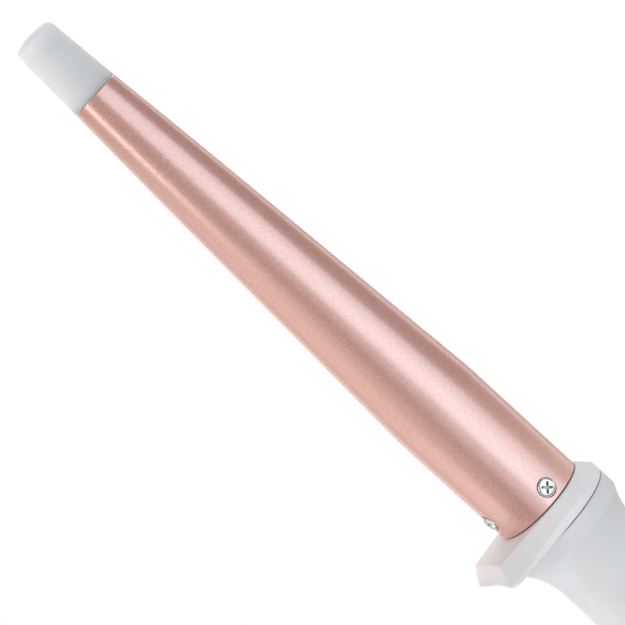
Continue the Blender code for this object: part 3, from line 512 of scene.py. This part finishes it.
def collar_outline(radius, half_width, depth, corner, arch):
    """D-shaped outline as (y, z) points: a round top that runs down to a foot with rounded corners."""
    arc_steps, side_steps, corner_steps, arch_steps = 48, 12, 10, 12
    corner_y = half_width - corner
    corner_z = depth - corner
    reach = math.hypot(corner_y, corner_z)
    lean = math.atan2(corner_y, corner_z) + math.acos((radius - corner) / reach)
    side = []
    for i in range(arc_steps + 1):
        angle = math.pi + (lean - math.pi) * i / arc_steps
        side.append((radius * math.sin(angle), -radius * math.cos(angle)))
    top = Vector(side[-1])
    bottom = Vector((corner_y + corner * math.sin(lean), -corner_z - corner * math.cos(lean)))
    for i in range(1, side_steps):
        side.append(tuple(top.lerp(bottom, i / side_steps)))
    for i in range(corner_steps + 1):
        angle = lean * (1.0 - i / corner_steps)
        side.append((corner_y + corner * math.sin(angle), -corner_z - corner * math.cos(angle)))
    land = corner_y - FOOT_LAND
    for i in range(arch_steps + 1):
        across = land * (1.0 - i / arch_steps)
        side.append((across, -depth + arch * (1.0 - (across / land) ** 2)))
    return side + [(-y, z) for y, z in reversed(side[1:-1])]


def collar_shape():
    front = collar_outline(
        COLLAR_FRONT_RADIUS, FOOT_FRONT_HALF_WIDTH, FOOT_FRONT_DEPTH, FOOT_FRONT_CORNER, FOOT_ARCH * 0.5
    )
    rim = collar_outline(COLLAR_RADIUS, FOOT_HALF_WIDTH, FOOT_DEPTH, FOOT_CORNER, FOOT_ARCH)
    shoulder = []
    back = []
    bore = []
    for y, z in rim:
        blend = min(max((-z - FOOT_BLEND_START) / FOOT_BLEND_LENGTH, 0.0), 1.0)
        x = COLLAR_CHAMFER + (FOOT_CHAMFER - COLLAR_CHAMFER) * blend
        settle = (COLLAR_LENGTH - x) * REST_SLOPE * blend
        shoulder.append((x, y, z - settle))
        back.append((COLLAR_LENGTH, y, z))
        reach = math.hypot(y, z)
        bore.append((y * COLLAR_BORE_RADIUS / reach, z * COLLAR_BORE_RADIUS / reach))
    loops = [
        [(0.0, y, z) for y, z in front],
        shoulder,
        back,
        [(COLLAR_LENGTH, y, z) for y, z in bore],
        [(0.0, y, z) for y, z in bore],
    ]
    shape = bmesh.new()
    add_loops(shape, loops, closed=True)
    collar = new_object("collar_and_foot", shape)
    bevel = collar.modifiers.new("soft edges", "BEVEL")
    bevel.width = COLLAR_EDGE
    bevel.segments = 4
    bevel.limit_method = "ANGLE"
    bevel.angle_limit = math.radians(24.0)
    bevel.harden_normals = True
    return smooth(collar, 40.0)


def racetrack(grow, z_range, name):
    """Flat slab with round ends, in the outline of the control panel."""
    steps = 24
    radius = PANEL_HALF_WIDTH + grow
    front = PANEL_FRONT_X + PANEL_HALF_WIDTH
    rear = PANEL_REAR_X - PANEL_HALF_WIDTH
    outline = []
    for centre, start in ((rear, -90.0), (front, 90.0)):
        for i in range(steps + 1):
            angle = math.radians(start + 180.0 * i / steps)
            outline.append((centre + radius * math.cos(angle), radius * math.sin(angle)))
    shape = bmesh.new()
    add_loops(shape, [[(x, y, z) for x, y in outline] for z in z_range], closed=False)
    return new_object(name, shape)


def control_holes_tool():
    shape = bmesh.new()
    holes = [(x, BUTTON_HOLE_RADIUS) for _, x in BUTTONS] + [(LENS_X, LENS_HOLE_RADIUS)]
    for x, radius in holes:
        loops = turned_loops([(z, radius) for z in CONTROL_CUT_Z], FINE_ROUND, "Z")
        add_loops(shape, [[(x + a, b, c) for a, b, c in loop] for loop in loops], closed=False)
    return new_object("control_holes_tool", shape)


def handle_shape():
    drop = COLLAR_RADIUS - GRIP_FRONT_RADIUS
    outline = [(HANDLE_FRONT_X, COLLAR_RADIUS, 1.0), (BAND_END_X, COLLAR_RADIUS, 0.6)]
    for i in range(1, BELL_STEPS + 1):
        t = i / BELL_STEPS
        x = BAND_END_X + (BELL_END_X - BAND_END_X) * t
        outline.append((x, COLLAR_RADIUS - drop * (1.0 - (1.0 - t) ** BELL_CURVE)))
    outline += [
        *GRIP_PROFILE,
        (HANDLE_END_X, GRIP_REAR_RADIUS, 1.0),
        (HANDLE_END_X, HANDLE_BORE_RADIUS),
        (FLANGE_RECESS_END_X, HANDLE_BORE_RADIUS),
        (FLANGE_RECESS_END_X, FLANGE_RECESS_RADIUS),
        (HANDLE_FRONT_X, FLANGE_RECESS_RADIUS),
    ]
    sleeve = turned("handle_grip", rounded(outline, EDGE_RADIUS))
    carve(sleeve, racetrack(POCKET_GAP, (PANEL_FLOOR_Z, CONTROL_CUT_Z[1]), "pocket_tool"))
    carve(sleeve, control_holes_tool())
    for _, degrees in CAP_SCREWS:
        carve(sleeve, seat_tool(CAP_SCREW_X, degrees, CAP_SCREW_SEAT, GRIP_REAR_RADIUS))
    return smooth(sleeve)


def panel_shape():
    panel = racetrack(0.0, (PANEL_FLOOR_Z + PANEL_LIFT, CONTROL_CUT_Z[1]), "control_inlay")
    curve = turned("curve_tool", [(x, PANEL_RADIUS) for x in PANEL_CURVE_X], ROUND, "X", True)
    carve(panel, curve, "INTERSECT")
    carve(panel, control_holes_tool())
    bevel = panel.modifiers.new("soft edges", "BEVEL")
    bevel.width = PANEL_EDGE
    bevel.segments = 3
    bevel.limit_method = "ANGLE"
    bevel.angle_limit = math.radians(40.0)
    return smooth(panel)


def mark_tool(along, across, top, place):
    """Bar that stands in a button's dish without rising above its rim."""
    shape = bmesh.new()
    corners = ((-along, -across), (along, -across), (along, across), (-along, across))
    heights = (top - 2.0 * BUTTON_DISH, top - BUTTON_MARK_DROP)
    add_loops(shape, [[(x, y, z) for x, y in corners] for z in heights], closed=False)
    return new_object("mark_tool", shape, place)


def button_shape(name, x):
    """Round button with a dished top and a raised generic mark."""
    edge_steps, dish_steps = 6, 8
    rise = BUTTON_EDGE_Z - BUTTON_BASE_Z
    top = BUTTON_TOP_Z - BUTTON_BASE_Z
    profile = [
        (0.0, BUTTON_FLANGE_RADIUS),
        (BUTTON_FLANGE_HEIGHT, BUTTON_FLANGE_RADIUS),
        (BUTTON_FLANGE_HEIGHT, BUTTON_RADIUS),
        (rise, BUTTON_RADIUS),
    ]
    for i in range(1, edge_steps + 1):
        angle = math.radians(90.0 * i / edge_steps)
        radius = BUTTON_RADIUS - BUTTON_EDGE * (1.0 - math.cos(angle))
        profile.append((rise + (top - rise) * math.sin(angle), radius))
    for i in range(1, dish_steps):
        t = 1.0 - i / dish_steps
        profile.append((top - BUTTON_DISH * (1.0 - t * t), (BUTTON_RADIUS - BUTTON_EDGE) * t))
    profile.append((top - BUTTON_DISH, 0.0))
    place = Matrix.Translation((x, 0.0, BUTTON_BASE_Z))
    button = turned(name + "_key", [(0.0, 0.0)] + profile, SMALL_ROUND, "Z", False, place)
    for along, across in BUTTON_MARKS[name]:
        carve(button, mark_tool(along, across, top, place), "UNION")
    return smooth(button)


def lens_shape():
    profile = [(LENS_BASE_Z, 0.0), (LENS_BASE_Z, LENS_RADIUS), (PANEL_RADIUS - LENS_EDGE, LENS_RADIUS)]
    profile += [(PANEL_RADIUS + height, LENS_RADIUS * share) for share, height in LENS_CROWN]
    place = Matrix.Translation((LENS_X, 0.0, 0.0))
    return smooth(turned("indicator_window", profile, FINE_ROUND, "Z", False, place))


def rear_cap_shape():
    """Cap with a round end, and a flat below where it rests on the table."""
    round_radius = CAP_RADIUS - (CAP_ROUND_X - CAP_X) * REST_SLOPE
    outline = [
        (CAP_SPIGOT_X, HANDLE_BORE_RADIUS - GAP),
        (CAP_X, HANDLE_BORE_RADIUS - GAP),
        (CAP_X, CAP_RADIUS, 1.2),
    ]
    steps = 12
    last_angle = math.radians(CAP_ROUND_DEGREES)
    for i in range(steps + 1):
        t = i / steps
        along = CAP_ROUND_X + (CAP_END_X - CAP_ROUND_X) * math.sin(last_angle * t) / math.sin(last_angle)
        shrink = math.cos(math.pi / 2.0 * t)
        outline.append((along, CAP_END_RADIUS + (round_radius - CAP_END_RADIUS) * shrink))
    outline += [
        (CAP_END_X, SWIVEL_NECK_RADIUS + GAP, 0.8),
        (CAP_SHOULDER_X, SWIVEL_NECK_RADIUS + GAP),
        (CAP_SHOULDER_X, CAP_CAVITY_RADIUS),
        (CAP_SPIGOT_X, CAP_CAVITY_RADIUS),
    ]
    cap = turned("rear_end_cap", rounded(outline, EDGE_RADIUS))
    for vertex in cap.data.vertices:
        table = -FOOT_DEPTH + (vertex.co.x - COLLAR_LENGTH) * REST_SLOPE
        vertex.co.z = max(vertex.co.z, table)
    return smooth(cap)


def swivel_shape():
    """Rotor with a grooved, tapered nose and an open cord bore."""
    flange_x = CAP_X + SWIVEL_PLAY
    neck_x = CAP_SHOULDER_X - GAP
    outline = [
        (SWIVEL_FRONT_X, SWIVEL_SPOOL_RADIUS),
        (flange_x, SWIVEL_SPOOL_RADIUS),
        (flange_x, SWIVEL_FLANGE_RADIUS),
        (neck_x, SWIVEL_FLANGE_RADIUS),
        (neck_x, SWIVEL_NECK_RADIUS),
        (CAP_END_X + SWIVEL_COLLAR_LENGTH, SWIVEL_NECK_RADIUS),
    ]
    for i in range(GROOVE_COUNT):
        groove = GROOVE_FRONT + GROOVE_PITCH * i
        start = CAP_END_X + groove
        end = start + GROOVE_WIDTH
        radius = SWIVEL_NECK_RADIUS - SWIVEL_NOSE_TAPER * groove / SWIVEL_NOSE_LENGTH
        outline += [
            (start, radius, 0.8),
            (start + GROOVE_SLOPE, radius - GROOVE_DEPTH, 0.5),
            (end - GROOVE_SLOPE, radius - GROOVE_DEPTH, 0.5),
            (end, radius, 0.8),
        ]
    outline += [
        (SWIVEL_END_X - SWIVEL_MOUTH_LENGTH, SWIVEL_NOSE_RADIUS, 2.0),
        (SWIVEL_END_X, SWIVEL_MOUTH_RADIUS, 1.6),
        (SWIVEL_END_X, CORD_BORE_RADIUS, 1.6),
        (CAP_SHOULDER_X, CORD_BORE_RADIUS),
        (CAP_SHOULDER_X, WIRE_BORE_RADIUS),
        (SWIVEL_FRONT_X, WIRE_BORE_RADIUS),
    ]
    return smooth(turned("cord_inlet_nose", rounded(outline, SWIVEL_EDGE), SMALL_ROUND))


# ---------------------------------------------------------------- materials


class Surface:
    """A Principled material with helpers for its procedural detail."""

    def __init__(self, name, roughness, metallic=0.0, coat=0.0, coat_roughness=0.2, ior=1.5):
        self.material = bpy.data.materials.new(name)
        self.material.use_nodes = True
        self.tree = self.material.node_tree
        self.shader = self.tree.nodes["Principled BSDF"]
        self.shader.inputs["Metallic"].default_value = metallic
        self.shader.inputs["Roughness"].default_value = roughness
        self.shader.inputs["Coat Weight"].default_value = coat
        self.shader.inputs["Coat Roughness"].default_value = coat_roughness
        self.shader.inputs["IOR"].default_value = ior
        self.place = self.tree.nodes.new("ShaderNodeTexCoord").outputs["Object"]

    def noise(self, scale, detail=2.0, stretch=None):
        """Noise with a feature size of about 1/scale metres, stretched along the wand if asked."""
        place = self.place
        if stretch:
            mapping = self.tree.nodes.new("ShaderNodeMapping")
            mapping.inputs["Scale"].default_value = stretch
            self.tree.links.new(place, mapping.inputs["Vector"])
            place = mapping.outputs["Vector"]
        node = self.tree.nodes.new("ShaderNodeTexNoise")
        node.inputs["Scale"].default_value = scale
        node.inputs["Detail"].default_value = detail
        self.tree.links.new(place, node.inputs["Vector"])
        return node.outputs["Fac"]

    def ramp(self, value, stops):
        node = self.tree.nodes.new("ShaderNodeValToRGB")
        elements = node.color_ramp.elements
        for element, (position, colour) in zip(elements, (stops[0], stops[-1])):
            element.position = position
            element.color = (*colour, 1.0)
        for position, colour in stops[1:-1]:
            elements.new(position).color = (*colour, 1.0)
        self.tree.links.new(value, node.inputs["Fac"])
        return node.outputs["Color"]

    def mix(self, factor, first, second):
        node = self.tree.nodes.new("ShaderNodeMix")
        node.data_type = "RGBA"
        for slot, value in ((node.inputs[0], factor), (node.inputs[6], first), (node.inputs[7], second)):
            if isinstance(value, (int, float)):
                slot.default_value = value
            elif isinstance(value, tuple):
                slot.default_value = (*value, 1.0)
            else:
                self.tree.links.new(value, slot)
        return node.outputs[2]

    def spread(self, value, low, high):
        node = self.tree.nodes.new("ShaderNodeMapRange")
        node.inputs["To Min"].default_value = low
        node.inputs["To Max"].default_value = high
        self.tree.links.new(value, node.inputs["Value"])
        return node.outputs["Result"]

    def math(self, operation, first, second=0.0):
        node = self.tree.nodes.new("ShaderNodeMath")
        node.operation = operation
        for slot, value in zip(node.inputs, (first, second)):
            if isinstance(value, (int, float)):
                slot.default_value = value
            else:
                self.tree.links.new(value, slot)
        return node.outputs[0]

    def step(self, value, start, end):
        """Rises from 0 to 1 as the value goes from start to end; end may be the smaller."""
        node = self.tree.nodes.new("ShaderNodeMapRange")
        node.interpolation_type = "SMOOTHSTEP"
        node.inputs["From Min"].default_value = start
        node.inputs["From Max"].default_value = end
        self.tree.links.new(value, node.inputs["Value"])
        return node.outputs["Result"]

    def axes(self):
        node = self.tree.nodes.new("ShaderNodeSeparateXYZ")
        self.tree.links.new(self.place, node.inputs[0])
        return node.outputs[0], node.outputs[1], node.outputs[2]

    def wand_axes(self):
        """The same in the wand's own frame, for a long piece whose mesh lies square to the table."""
        mapping = self.tree.nodes.new("ShaderNodeMapping")
        mapping.vector_type = "TEXTURE"
        mapping.inputs["Location"].default_value = WAND.translation
        mapping.inputs["Rotation"].default_value = WAND.to_euler()
        self.tree.links.new(self.place, mapping.inputs["Vector"])
        node = self.tree.nodes.new("ShaderNodeSeparateXYZ")
        self.tree.links.new(mapping.outputs["Vector"], node.inputs[0])
        return node.outputs[0], node.outputs[1], node.outputs[2]

    def reach(self, first, second):
        """Distance from an axis, from the two coordinates across it."""
        first_square = self.math("MULTIPLY", first, first)
        second_square = self.math("MULTIPLY", second, second)
        return self.math("SQRT", self.math("ADD", first_square, second_square))

    def colour(self, output):
        self.tree.links.new(output, self.shader.inputs["Base Color"])

    def roughness(self, output):
        self.tree.links.new(output, self.shader.inputs["Roughness"])

    def bump(self, layers):
        """Bumps from (height output, distance in metres, strength) layers, one on top of the other."""
        normal = None
        for height, distance, strength in layers:
            node = self.tree.nodes.new("ShaderNodeBump")
            node.inputs["Distance"].default_value = distance
            node.inputs["Strength"].default_value = strength
            self.tree.links.new(height, node.inputs["Height"])
            if normal:
                self.tree.links.new(normal, node.inputs["Normal"])
            normal = node.outputs["Normal"]
        self.tree.links.new(normal, self.shader.inputs["Normal"])
        self.tree.links.new(normal, self.shader.inputs["Coat Normal"])


def rose_gold_material():
    """Satin rose gold coating: fine flakes under a soft clear layer, with painted shade that darkens it down in a
    screw seat.
    """
    surface = Surface("rose_gold_coating", 0.42, 0.45, 1.0, 0.26)
    surface.shader.inputs["Coat IOR"].default_value = 3.3
    flakes = surface.noise(2700.0, 1.0)
    grain = surface.noise(3300.0, 1.5)
    clouds = surface.noise(60.0, 2.0)
    flake_tones = [
        (0.3, (0.65, 0.25, 0.176)),
        (0.5, (0.745, 0.299, 0.213)),
        (0.7, (0.86, 0.37, 0.276)),
    ]
    tone = surface.ramp(flakes, flake_tones)
    tone = surface.mix(surface.spread(clouds, 0.0, 0.16), tone, (0.785, 0.324, 0.235))
    along, across, up = surface.wand_axes()
    skin_depths = [BARREL_RADIUS - depth for depth in SEAT_PAINTED_SHADE_DEPTH]
    below_skin = surface.step(surface.reach(across, up), *skin_depths)
    painted_seat_shade = surface.math("MULTIPLY", below_skin, surface.step(along, *SEAT_PAINTED_SHADE_X))
    # Painted shade: the colour turns dark brown down in each screw seat, where shade falls
    surface.colour(surface.mix(painted_seat_shade, tone, (0.07, 0.035, 0.03)))
    surface.roughness(surface.spread(grain, 0.34, 0.5))
    surface.bump([(grain, 0.00006, 0.45)])
    return surface.material


def moulded_material(name, tone, roughness, grain_scale=3200.0, grain=0.18):
    """Moulded plastic with a fine spark-eroded grain and faint clouds in its colour."""
    warm = (1.0, 0.99, 0.98)
    surface = Surface(name, roughness, ior=1.47)
    clouds = surface.noise(90.0, 3.0)
    fine = surface.noise(grain_scale, 2.0)
    low = tuple(c * w * 0.99 for c, w in zip(tone, warm))
    high = tuple(min(c * 1.01, 1.0) for c in tone)
    base = surface.ramp(clouds, [(0.3, low), (0.7, high)])
    surface.colour(surface.mix(surface.spread(fine, 0.0, 0.05), base, tuple(c * 0.9 for c in tone)))
    surface.roughness(surface.spread(fine, roughness - 0.05, roughness + 0.07))
    surface.bump([(fine, 0.00004, grain), (surface.noise(420.0, 2.0), 0.00004, 0.03)])
    return surface.material


def metal_material(name, tone, roughness):
    """Bare or plated metal with faint machining lines and slight tarnish."""
    surface = Surface(name, roughness, 1.0)
    lines = surface.noise(700.0, 3.0, (1.0, 12.0, 12.0))
    stain = surface.noise(260.0, 3.0)
    base = surface.ramp(stain, [(0.3, tuple(c * 0.86 for c in tone)), (0.7, tone)])
    surface.colour(base)
    surface.roughness(surface.spread(lines, max(roughness - 0.07, 0.03), roughness + 0.1))
    surface.bump([(lines, 0.00003, 0.15)])
    return surface.material


def tip_material():
    """Milky heat-proof plastic that lets a little light through."""
    material = moulded_material("tip_plastic", (0.84, 0.78, 0.755), 0.6)
    shader = material.node_tree.nodes["Principled BSDF"]
    shader.inputs["Subsurface Weight"].default_value = 1.0
    shader.inputs["Subsurface Radius"].default_value = (1.0, 1.0, 1.0)
    shader.inputs["Subsurface Scale"].default_value = 0.012
    return material


def screw_material():
    """Bright nickel plate with painted shade that darkens it down in the cross recess."""
    surface = Surface("nickel_plated_steel", 0.25, 1.0)
    along, across, up = surface.axes()
    edge = [SCREW_HEAD_RADIUS * share for share in RECESS_PAINTED_SHADE_EDGE]
    sink = [SCREW_HEAD_HEIGHT * share for share in RECESS_PAINTED_SHADE_SINK]
    inside = surface.step(surface.reach(along, across), *edge)
    sunk = surface.step(up, *sink)
    recess = surface.math("MULTIPLY", inside, sunk)
    stain = surface.ramp(surface.noise(900.0, 3.0), [(0.3, (0.74, 0.73, 0.71)), (0.7, (0.9, 0.89, 0.87))])
    # Painted shade: the plate's colour turns dark grey down in the cross recess, where shade falls
    surface.colour(surface.mix(recess, stain, (0.27, 0.265, 0.26)))
    surface.roughness(surface.spread(surface.noise(2400.0, 2.0), 0.18, 0.3))
    surface.bump([(surface.noise(1500.0, 2.0), 0.00002, 0.1)])
    return surface.material


def speckled_material(name, tone, accent, roughness, scale=1500.0):
    """Plastic, resin or ceramic with a second colour in small specks."""
    surface = Surface(name, roughness)
    specks = surface.noise(scale, 4.0)
    surface.colour(surface.ramp(specks, [(0.35, tone), (0.75, accent)]))
    surface.roughness(surface.spread(specks, roughness - 0.05, roughness + 0.08))
    surface.bump([(specks, 0.00004, 0.15)])
    return surface.material


# Name, colour, roughness, and where they differ the scale and the depth of the grain
MOULDED = (
    ("collar_plastic", (0.84, 0.805, 0.79), 0.5),
    ("handle_plastic", (0.74, 0.71, 0.697), 0.46),
    ("cap_plastic", (0.66, 0.655, 0.655), 0.5),
    ("tray_plastic", (0.5, 0.5, 0.5), 0.6),
    ("button_plastic", (0.74, 0.735, 0.735), 0.36, 3600.0, 0.1),
    ("swivel_plastic", (0.6, 0.6, 0.61), 0.52),
)
# Name, colour, colour of the specks, roughness, and where it differs the scale of the specks
SPECKLED = (
    ("holder_plastic", (0.05, 0.05, 0.053), (0.09, 0.09, 0.095), 0.55),
    ("panel_plastic", (0.55, 0.33, 0.28), (0.66, 0.42, 0.36), 0.28, 2600.0),
    ("lens_plastic", (0.55, 0.10, 0.06), (0.66, 0.16, 0.1), 0.16),
    ("heater_ceramic", (0.80, 0.78, 0.73), (0.86, 0.85, 0.81), 0.5),
    ("insulating_film", (0.58, 0.33, 0.05), (0.70, 0.44, 0.09), 0.25),
    ("sensor_sleeve", (0.5, 0.45, 0.36), (0.6, 0.55, 0.46), 0.35),
    ("board_laminate", (0.02, 0.16, 0.06), (0.05, 0.26, 0.11), 0.35, 900.0),
    ("component_moulding", (0.02, 0.02, 0.022), (0.05, 0.05, 0.054), 0.5),
    ("capacitor_case", (0.70, 0.49, 0.07), (0.79, 0.59, 0.13), 0.4),
    ("led_resin", (0.76, 0.70, 0.64), (0.84, 0.80, 0.75), 0.22),
    ("line_wire_sleeve", (0.46, 0.05, 0.04), (0.58, 0.09, 0.07), 0.6),
    ("neutral_wire_sleeve", (0.70, 0.70, 0.66), (0.78, 0.78, 0.75), 0.6),
    ("sensor_wire_sleeve", (0.03, 0.03, 0.03), (0.07, 0.07, 0.07), 0.6),
)
# Name, colour, roughness
METALS = (
    ("contact_brass", (0.80, 0.60, 0.30), 0.3),
    ("bare_aluminium", (0.80, 0.80, 0.81), 0.38),
    ("spring_steel", (0.58, 0.58, 0.60), 0.3),
    ("fuse_can", (0.70, 0.68, 0.65), 0.32),
)


def make_materials():
    """Every material by the name of its slot."""
    made = {
        "rose_gold_coating": rose_gold_material(),
        "tip_plastic": tip_material(),
        "nickel_plated_steel": screw_material(),
    }
    tables = ((moulded_material, MOULDED), (speckled_material, SPECKLED), (metal_material, METALS))
    for maker, looks in tables:
        for look in looks:
            made[look[0]] = maker(*look)
    return made


# ---------------------------------------------------------------- the wand


def build_wand(materials):
    body = "wand_body"
    finish_piece(squared_up(barrel_shape()), materials, body, "barrel", "rose_gold_coating")
    finish_piece(squared_up(cool_tip_shape()), materials, body, "cool_tip", "tip_plastic")
    finish_piece(squared_up(collar_shape()), materials, body, "collar_stand", "collar_plastic")
    finish_piece(squared_up(handle_shape()), materials, body, "handle_sleeve", "handle_plastic")
    finish_piece(squared_up(panel_shape()), materials, body, "control_panel", "panel_plastic")
    finish_piece(lens_shape(), materials, body, "indicator_lens", "lens_plastic")
    finish_piece(squared_up(rear_cap_shape()), materials, body, "rear_cap", "cap_plastic")
    finish_piece(squared_up(swivel_shape()), materials, "cord_swivel", "cord_swivel", "swivel_plastic")
    for name, x in BUTTONS:
        finish_piece(button_shape(name, x), materials, name, name, "button_plastic")
    for name, x, degrees, roll in BARREL_SCREWS:
        seat = BARREL_RADIUS - SEAT_DEPTH + SCREW_LIFT
        place = radial_place(x, degrees, seat) @ Matrix.Rotation(roll, 4, "Z")
        screw = screw_shape(name + "_fine", place)
        finish_piece(screw, materials, body, name, "nickel_plated_steel")
    for name, degrees in CAP_SCREWS:
        place = radial_place(CAP_SCREW_X, degrees, CAP_SCREW_SEAT + SCREW_LIFT)
        screw = screw_shape(name + "_fine", place @ Matrix.Rotation(CAP_SCREW_TURN, 4, "Z"))
        finish_piece(screw, materials, body, name, "nickel_plated_steel")


def finish_inner_nodes(materials):
    """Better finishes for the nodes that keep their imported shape."""
    slots = {part["node"]: part["material_slot"] for part in frame["record"]["subparts"]}
    for name, item in frame["nodes"].items():
        if not item.hide_render:
            item.data.materials.clear()
            item.data.materials.append(materials[slots[name]])


# ---------------------------------------------------------------- stage


def make_floor():
    """Pale floor that shows only its upper side and melts into the white surroundings."""
    shape = bmesh.new()
    size = FLOOR_HALF_SIZE
    corners = ((-size, -size), (size, -size), (size, size), (-size, size))
    shape.faces.new([shape.verts.new((x, y, FLOOR_Z)) for x, y in corners])
    mesh = bpy.data.meshes.new("floor")
    shape.to_mesh(mesh)
    shape.free()
    floor = bpy.data.objects.new("floor", mesh)
    bpy.context.scene.collection.objects.link(floor)
    material = bpy.data.materials.new("pale_floor")
    material.use_nodes = True
    tree = material.node_tree
    shader = tree.nodes["Principled BSDF"]
    shader.inputs["Roughness"].default_value = FLOOR_ROUGHNESS
    clear = tree.nodes.new("ShaderNodeBsdfTransparent")
    side = tree.nodes.new("ShaderNodeNewGeometry")
    place = tree.nodes.new("ShaderNodeTexCoord")
    grain = tree.nodes.new("ShaderNodeTexNoise")
    grain.inputs["Scale"].default_value = FLOOR_GRAIN_SCALE
    tint = tree.nodes.new("ShaderNodeMapRange")
    tint.inputs["To Min"].default_value = FLOOR_TONE - FLOOR_TONE_SPREAD
    tint.inputs["To Max"].default_value = FLOOR_TONE + FLOOR_TONE_SPREAD
    tree.links.new(place.outputs["Object"], grain.inputs["Vector"])
    tree.links.new(grain.outputs["Fac"], tint.inputs["Value"])
    tree.links.new(tint.outputs["Result"], shader.inputs["Base Color"])
    reach = tree.nodes.new("ShaderNodeVectorMath")
    reach.operation = "LENGTH"
    tree.links.new(place.outputs["Object"], reach.inputs[0])
    fade = tree.nodes.new("ShaderNodeMapRange")
    fade.interpolation_type = "SMOOTHSTEP"
    fade.inputs["From Min"].default_value = FLOOR_FADE_START
    fade.inputs["From Max"].default_value = FLOOR_FADE_END
    tree.links.new(reach.outputs["Value"], fade.inputs["Value"])
    cover = tree.nodes.new("ShaderNodeMath")
    cover.operation = "MAXIMUM"
    tree.links.new(side.outputs["Backfacing"], cover.inputs[0])
    tree.links.new(fade.outputs["Result"], cover.inputs[1])
    mix = tree.nodes.new("ShaderNodeMixShader")
    tree.links.new(cover.outputs["Value"], mix.inputs["Fac"])
    tree.links.new(shader.outputs["BSDF"], mix.inputs[1])
    tree.links.new(clear.outputs["BSDF"], mix.inputs[2])
    tree.links.new(mix.outputs["Shader"], tree.nodes["Material Output"].inputs["Surface"])
    mesh.materials.append(material)
    floor.visible_glossy = False
    floor.visible_shadow = False


def make_world():
    """White to the eye, dimmer as a light."""
    world = bpy.data.worlds.new("studio")
    bpy.context.scene.world = world
    world.use_nodes = True
    tree = world.node_tree
    tree.nodes.clear()
    output = tree.nodes.new("ShaderNodeOutputWorld")
    seen = tree.nodes.new("ShaderNodeBackground")
    seen.inputs["Strength"].default_value = 1.0
    seen.inputs["Color"].default_value = (1.0, 1.0, 1.0, 1.0)
    light = tree.nodes.new("ShaderNodeBackground")
    light.inputs["Color"].default_value = (1.0, 1.0, 1.0, 1.0)
    light.inputs["Strength"].default_value = WORLD_LIGHT
    path = tree.nodes.new("ShaderNodeLightPath")
    mix = tree.nodes.new("ShaderNodeMixShader")
    tree.links.new(path.outputs["Is Camera Ray"], mix.inputs["Fac"])
    tree.links.new(light.outputs["Background"], mix.inputs[1])
    tree.links.new(seen.outputs["Background"], mix.inputs[2])
    tree.links.new(mix.outputs["Shader"], output.inputs["Surface"])


def make_lights():
    for name, degrees, x, aim_x, distance, length, width, power, colour in SOFT_BOXES:
        data = bpy.data.lights.new(name, "AREA")
        data.shape = "RECTANGLE"
        data.size = length
        data.size_y = width
        data.energy = power
        data.color = colour
        lamp = bpy.data.objects.new(name, data)
        bpy.context.scene.collection.objects.link(lamp)
        angle = math.radians(degrees)
        spot = Vector((x, -math.cos(angle) * distance, math.sin(angle) * distance))
        outwards = (spot - Vector((aim_x, 0.0, 0.0))).normalized()
        along = (Vector((1.0, 0.0, 0.0)) - outwards * outwards.x).normalized()
        box_axes = Matrix((along, outwards.cross(along), outwards)).transposed().to_4x4()
        lamp.matrix_world = WAND @ Matrix.Translation(spot) @ box_axes


def make_camera():
    back = VIEW_BACK.normalized()
    level_up = (Vector((0.0, 0.0, 1.0)) - back * back.z).normalized()
    level_right = level_up.cross(back)
    up = level_up * math.cos(VIEW_ROLL) + level_right * math.sin(VIEW_ROLL)
    right = up.cross(back)
    axes = Matrix((right, up, back)).transposed().to_4x4()
    data = bpy.data.cameras.new("camera")
    data.lens = VIEW_LENS
    data.sensor_width = SENSOR_WIDTH
    data.clip_start = NEAREST_SEEN
    camera = bpy.data.objects.new("camera", data)
    bpy.context.scene.collection.objects.link(camera)
    camera.matrix_world = WAND @ Matrix.Translation(VIEW_TARGET + back * VIEW_DISTANCE) @ axes
    bpy.context.scene.camera = camera


bpy.context.scene.view_settings.view_transform = "Standard"
MATERIALS = make_materials()
build_wand(MATERIALS)
finish_inner_nodes(MATERIALS)
make_floor()
make_world()
make_lights()
make_camera()
